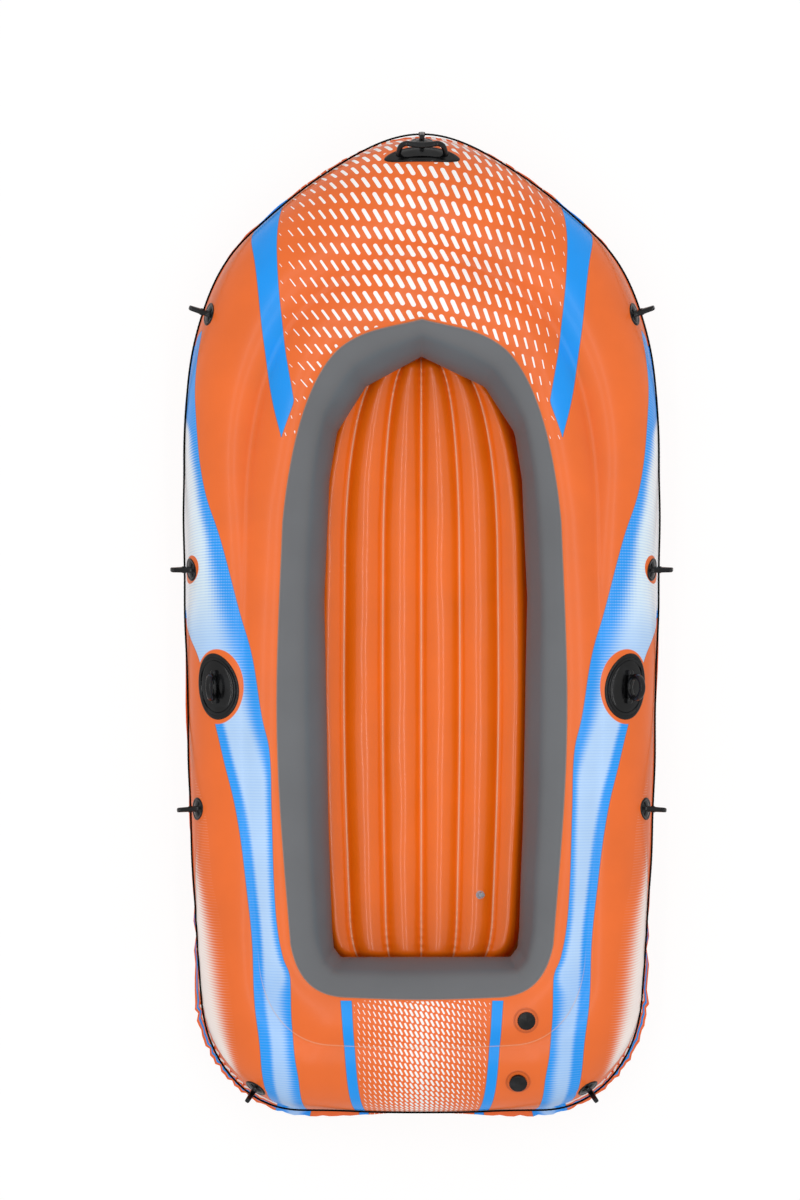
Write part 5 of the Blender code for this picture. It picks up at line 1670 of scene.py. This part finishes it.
# The shader's own values for each finish
finishes = {
    "printedVinyl": {"Roughness": 0.36, "Coat Weight": 0.22, "Coat Roughness": 0.22, "Specular IOR Level": 0.25},
    "plainVinyl": {"Roughness": 0.36, "Coat Weight": 0.22, "Coat Roughness": 0.22, "Specular IOR Level": 0.25},
    "baseSheetVinyl": {"Roughness": 0.42, "Specular IOR Level": 0.25},
    "greyPanelVinyl": {"Roughness": 0.5, "Coat Weight": 0.04, "Coat Roughness": 0.35, "Specular IOR Level": 0.3},
    "channelledFloorVinyl": {
        "Roughness": 0.28,
        "Coat Weight": 0.42,
        "Coat Roughness": 0.13,
        "Specular IOR Level": 0.28,
    },
    "glossyBlackRubber": {"Roughness": 0.22, "Coat Weight": 0.25, "Coat Roughness": 0.06, "Specular IOR Level": 0.15},
    "mouldedBlackPlastic": {"Roughness": 0.3, "Specular IOR Level": 0.25},
    "mattWasherRubber": {"Roughness": 0.6},
    "braidedCord": {"Roughness": 0.7, "Specular IOR Level": 0.06},
    "turnedPinSteel": {"Roughness": 0.3, "Metallic": 1.0},
    "clearValvePlastic": {"Roughness": 0.12, "Transmission Weight": 0.55, "IOR": 1.46},
}


def newMaterial(name):
    material = bpy.data.materials.new(name)
    material.use_nodes = True
    tree = material.node_tree
    shader = tree.nodes["Principled BSDF"]
    for label, value in finishes[name].items():
        shader.inputs[label].default_value = value
    return material, Wiring(tree), shader


def bumpInto(w, shader, height, distance):
    bump = w.put("ShaderNodeBump")
    bump.inputs["Strength"].default_value = 1.0
    bump.inputs["Distance"].default_value = distance
    w.feed(bump.inputs["Height"], height)
    w.feed(shader.inputs["Normal"], bump.outputs["Normal"])


def objectPlace(w):
    return w.put("ShaderNodeTexCoord").outputs["Object"]


vinyl = {
    "grainSize": 0.0018,
    "patchSize": 0.16,
    "shade": 0.05,
    "smoothest": 0.34,
    "spread": 0.12,  # how much rougher the roughest patches are
    "grain": 0.06,
    "bump": 0.0008,
}
# weld lines: place of the middle, half width, rib pitch, height in the bump, and paleness
welds = {
    "crease": {"middle": 0.0, "halfWidth": 0.0016, "ribPitch": 0.0022, "height": 0.5, "pale": 0.32},
    "under": {"middle": 0.0, "halfWidth": 0.0016, "ribPitch": 0.0022, "height": 0.5, "pale": 0.3},
    "border": {"middle": 0.0035, "halfWidth": 0.0014, "ribPitch": 0.002, "height": 0.4, "pale": 0.22},
    "rim": {"middle": -0.003, "halfWidth": 0.004, "ribPitch": 0.003, "height": 0.5},
    "lap": {"middle": 0.004, "halfWidth": 0.002, "ribPitch": 0.002, "height": 0.4, "pale": 0.35},
    "channel": {"middle": 0.0, "halfWidth": 0.0021, "ribPitch": 0.0026, "height": 0.6, "pale": 0.55},
}
asternCrease = (-0.78, -0.92)  # the crease weld shows only towards the stern
# how much painted shade darkens the pressed ring round each valve, and the ring's height in the bump
pressedRing = {"shade": 0.45, "height": 1.2}


def welded(w, kind, distance, run):
    # the mask of a weld line, and its height in the bump
    line = welds[kind]
    away = w.minus(distance, line["middle"]) if line["middle"] else distance
    made = w.use(weld, **{"Distance": away, "Run": run, "Half Width": line["halfWidth"], "Rib Pitch": line["ribPitch"]})
    return made["Mask"], w.times(made["Height"], line["height"])


def vinylFinish(w, shader, colour, heights, smoothest=vinyl["smoothest"]):
    # shared look of the vinyl: slow change of shade and gloss, and a fine grain in the bump
    sizes = {"Grain Size": vinyl["grainSize"], "Patch Size": vinyl["patchSize"]}
    marks = w.use(grain, **{"Place": objectPlace(w), **sizes})
    toned = w.put("ShaderNodeHueSaturation")
    w.feed(toned.inputs["Color"], colour)
    w.feed(toned.inputs["Value"], w.ramp(marks["Patch"], 0.3, 0.7, 1.0 - vinyl["shade"], 1.0 + vinyl["shade"]))
    w.feed(shader.inputs["Base Color"], toned.outputs["Color"])
    w.feed(shader.inputs["Roughness"], w.ramp(marks["Patch"], 0.3, 0.7, smoothest, smoothest + vinyl["spread"]))
    height = w.times(w.minus(marks["Grain"], 0.5), vinyl["grain"])
    for extra in heights:
        height = w.plus(height, extra)
    bumpInto(w, shader, height, vinyl["bump"])


def printedVinyl():
    material, w, shader = newMaterial("printedVinyl")
    place = w.attribute("printPlace")
    fromBand, fromCrease, fromEdge = w.parts(w.attribute("seams"))
    fromRope, _, _ = w.parts(w.attribute("trim"))
    marks = {"Place": place, "From Panel": fromBand, "From Edge": fromEdge, "Inboard Of Rope": fromRope}
    colour = w.use(printGroup(), **marks)["Color"]
    across, y, _ = w.parts(place)
    run = w.plus(y, across)
    astern = w.rise(y, *asternCrease)
    crease, creaseHeight = welded(w, "crease", fromCrease, run)
    border, borderHeight = welded(w, "border", fromBand, run)
    _, rimHeight = welded(w, "rim", fromEdge, run)
    pale = w.times(w.times(crease, astern), welds["crease"]["pale"])
    pale = w.plus(pale, w.times(border, welds["border"]["pale"]))
    colour = w.mix(pale, colour, inks["weld"])
    heights = [w.times(creaseHeight, astern), borderHeight, rimHeight]
    for joint in capJoints:
        ring = w.use(press, **{"Place": objectPlace(w), "Centre": joint["pos_m"], "Axis": joint["axis"]})
        # the pressed ring is painted darker orange, as shade
        colour = w.mix(w.times(ring["Ring"], pressedRing["shade"]), colour, inks["pressedRingShade"])
        colour = w.mix(ring["Opening"], colour, inks["rubber"])
        heights.append(w.times(ring["Height"], pressedRing["height"]))
    vinylFinish(w, shader, colour, heights)
    return material


def plainVinyl():
    material, w, shader = newMaterial("plainVinyl")
    fromEdge, run, fromCrease = w.parts(w.attribute("seams"))
    _, rimHeight = welded(w, "rim", fromEdge, run)
    crease, creaseHeight = welded(w, "under", fromCrease, run)
    colour = w.mix(w.times(crease, welds["under"]["pale"]), inks["orange"], inks["weld"])
    vinylFinish(w, shader, colour, [rimHeight, creaseHeight])
    return material


def sheetVinyl():
    material, w, shader = newMaterial("baseSheetVinyl")
    vinylFinish(w, shader, inks["orange"], [], 0.40)
    return material


def greyVinyl():
    material, w, shader = newMaterial("greyPanelVinyl")
    down, run, _ = w.parts(w.attribute("wall"))
    # past the ridge the panel's wall is painted darker grey, as shade
    wallShadeShare = w.rise(w.parts(w.attribute("lean"))[0], -2.0, 5.0)
    _, lapHeight = welded(w, "lap", down, run)
    body = w.mix(wallShadeShare, inks["grey"], inks["greyWallPaintedShade"])
    lap = w.rise(down, welds["lap"]["middle"], 0.0)
    colour = w.mix(w.times(lap, welds["lap"]["pale"]), body, inks["lap"])
    vinylFinish(w, shader, colour, [lapHeight], 0.44)
    return material


def floorVinyl():
    material, w, shader = newMaterial("channelledFloorVinyl")
    toSeam, _, _ = w.parts(w.attribute("seams"))
    _, run, _ = w.parts(w.attribute("channel"))
    seam, seamHeight = welded(w, "channel", toSeam, run)
    colour = w.mix(w.times(seam, welds["channel"]["pale"]), inks["floorOrange"], inks["floorWeld"])
    vinylFinish(w, shader, colour, [seamHeight], 0.28)
    return material


# The small parts: grain and patch size, two close colours, how the patches part them, gloss and bump
speckles = {
    "glossyBlackRubber": {
        "sizes": (0.0009, 0.03),
        "colours": (inks["rubber"], paint(20, 21, 23)),
        "blend": (0.42, 0.75),
        "gloss": (0.16, 0.30),
        "bump": (0.12, 0.0006),
    },
    "mouldedBlackPlastic": {
        "sizes": (0.0006, 0.02),
        "colours": (inks["rubber"], paint(34, 34, 37)),
        "blend": (0.45, 0.8),
        "gloss": (0.26, 0.42),
        "bump": (0.2, 0.0004),
    },
    "mattWasherRubber": {
        "sizes": (0.0005, 0.01),
        "colours": (paint(26, 26, 27), paint(44, 43, 43)),
        "gloss": (0.55, 0.72),
        "bump": (0.2, 0.0003),
    },
    "turnedPinSteel": {
        "sizes": (0.0007, 0.01),
        "colours": (paint(120, 121, 124), inks["steel"]),
        "gloss": (0.22, 0.4),
        "glossFrom": "Grain",
        "bump": (1.0, 0.0001),
    },
    "clearValvePlastic": {
        "sizes": (0.0008, 0.006),
        "colours": (paint(190, 204, 222), paint(226, 233, 242)),
        "gloss": (0.08, 0.2),
        "bump": (1.0, 0.0001),
    },
}


def speckled(name):
    material, w, shader = newMaterial(name)
    look = speckles[name]
    grainSize, patchSize = look["sizes"]
    marks = w.use(grain, **{"Place": objectPlace(w), "Grain Size": grainSize, "Patch Size": patchSize})
    share = w.rise(marks["Patch"], *look["blend"]) if "blend" in look else marks["Patch"]
    w.feed(shader.inputs["Base Color"], w.mix(share, *look["colours"]))
    w.feed(shader.inputs["Roughness"], w.ramp(marks[look.get("glossFrom", "Patch")], 0.3, 0.7, *look["gloss"]))
    strength, distance = look["bump"]
    bumpInto(w, shader, w.times(marks["Grain"], strength), distance)
    return material


weave = {
    "length": 0.0022,  # along the rope, from one crossing to the next
    "turns": 4.0,
    # painted shade in the grooves between the braid's strands
    "grooveShade": paint(2, 2, 2),
    "blend": (-0.2, 0.9),
    "gloss": (0.85, 0.6),
    "bump": 0.0003,
}


def braidedCord():
    material, w, shader = newMaterial("braidedCord")
    walked, cos, sin = w.parts(w.attribute("lay"))
    turns = w.times(w.over(w.math("ARCTAN2", sin, cos), math.tau), weave["turns"])
    passed = w.over(walked, weave["length"])
    one = w.math("SINE", w.times(w.plus(passed, turns), math.tau))
    two = w.math("SINE", w.times(w.minus(passed, turns), math.tau))
    over = w.most(one, two)
    # low between the strands the cord is painted darker, as shade
    w.feed(shader.inputs["Base Color"], w.mix(w.rise(over, *weave["blend"]), weave["grooveShade"], inks["rope"]))
    w.feed(shader.inputs["Roughness"], w.ramp(over, -1.0, 1.0, *weave["gloss"]))
    bumpInto(w, shader, over, weave["bump"])
    return material


skinVinyl, baseVinyl, panelVinyl, matVinyl = printedVinyl(), plainVinyl(), greyVinyl(), floorVinyl()
rubber, plastic, washers = speckled("glossyBlackRubber"), speckled("mouldedBlackPlastic"), speckled("mattWasherRubber")
cord, steel, clear, sheet = braidedCord(), speckled("turnedPinSteel"), speckled("clearValvePlastic"), sheetVinyl()
print("materials made")

makeSkins(skinVinyl, baseVinyl, panelVinyl)
print("hull skins made")
makeFloor(matVinyl)
print("floor made")
makeRope(cord)
print("rope made")
makeHolders(rubber)
makeHandle(rubber)
makeOarlocks(rubber)
makeCaps(plastic)
makeBase(sheet)
print("fittings made")


# Materials for the CAD pieces that stay
def finishNodes():
    looks = {
        "black_rubber": rubber,
        "black_plastic": plastic,
        "washer_rubber": washers,
        "black_rope": cord,
        "pin_steel": steel,
        "clear_vinyl": clear,
        "orange_vinyl": sheet,
        "floor_vinyl": sheet,
        "grey_vinyl": panelVinyl,
    }
    for name, obj in nodes.items():
        for place in obj.material_slots:
            old = place.material.name.split(".")[0] if place.material else ""
            place.material = looks.get(old, plastic)
            if old not in looks:
                print("no look for", name, old)


finishNodes()


# Light: soft overhead strips and a plain white room
room = {
    "world": 0.80,
    # name, place, tilt in degrees, width, length, power
    "lamps": (
        ("port strip", (-0.55, 0.0, 3.4), 0, 0.13, 3.2, 12.5),
        ("starboard strip", (0.55, 0.0, 3.4), 0, 0.13, 3.2, 13.5),
        ("bow fill", (0.0, 2.6, 2.6), -42, 2.6, 0.8, 2.0),
    ),
}


def lightRoom():
    world = bpy.data.worlds.new("plainRoom")
    bpy.context.scene.world = world
    world.use_nodes = True
    tree = world.node_tree
    w = Wiring(tree)
    back, bright = tree.nodes["Background"], w.put("ShaderNodeBackground")
    for node, strength in ((back, room["world"]), (bright, 1.0)):
        node.inputs["Color"].default_value = (1.0, 1.0, 1.0, 1.0)
        node.inputs["Strength"].default_value = strength
    rays = w.put("ShaderNodeLightPath")
    chosen = w.put("ShaderNodeMixShader")
    # the lamps light the boat; the room itself shows white to the eye and in reflections
    reflected = w.most(rays.outputs["Is Glossy Ray"], rays.outputs["Is Transmission Ray"])
    w.feed(chosen.inputs[0], w.most(rays.outputs["Is Camera Ray"], reflected))
    tree.links.new(back.outputs[0], chosen.inputs[1])
    tree.links.new(bright.outputs[0], chosen.inputs[2])
    tree.links.new(chosen.outputs[0], tree.nodes["World Output"].inputs["Surface"])

    for name, place, tilt, width, length, power in room["lamps"]:
        data = bpy.data.lights.new(name, "AREA")
        data.shape = "RECTANGLE"
        data.size, data.size_y, data.energy = width, length, power
        lamp = bpy.data.objects.new(name, data)
        lamp.location = place
        lamp.rotation_euler = (math.radians(tilt), 0.0, 0.0)
        bpy.context.scene.collection.objects.link(lamp)


studioFloor = {
    "half": 12.0,
    "shade": 0.86,
    "roughness": 0.9,
    "glow": 1.04,  # of the white that the camera sees
    "glowShare": 0.86,
}


def layFloor():
    # a wide pale ground that keeps a soft shadow round the boat
    half, shade = studioFloor["half"], studioFloor["shade"]
    corners = [Vector((x * half, y * half, 0.0)) for x, y in ((-1, -1), (1, -1), (1, 1), (-1, 1))]
    ground = addMesh("studio_ground", corners, [(0, 1, 2, 3)])
    material = bpy.data.materials.new("paleGround")
    material.use_nodes = True
    tree = material.node_tree
    w = Wiring(tree)
    shader = tree.nodes["Principled BSDF"]
    shader.inputs["Base Color"].default_value = (shade, shade, shade, 1.0)
    shader.inputs["Roughness"].default_value = studioFloor["roughness"]
    shader.inputs["Specular IOR Level"].default_value = 0.0
    glow = w.put("ShaderNodeEmission")
    glow.inputs["Strength"].default_value = studioFloor["glow"]
    rays = w.put("ShaderNodeLightPath")
    chosen = w.put("ShaderNodeMixShader")
    w.feed(chosen.inputs[0], w.times(rays.outputs["Is Camera Ray"], studioFloor["glowShare"]))
    tree.links.new(shader.outputs[0], chosen.inputs[1])
    tree.links.new(glow.outputs[0], chosen.inputs[2])
    tree.links.new(chosen.outputs[0], tree.nodes["Material Output"].inputs["Surface"])
    ground.data.materials.append(material)


lightRoom()
layFloor()
bpy.context.scene.view_settings.view_transform = "Standard"
print("room lit")
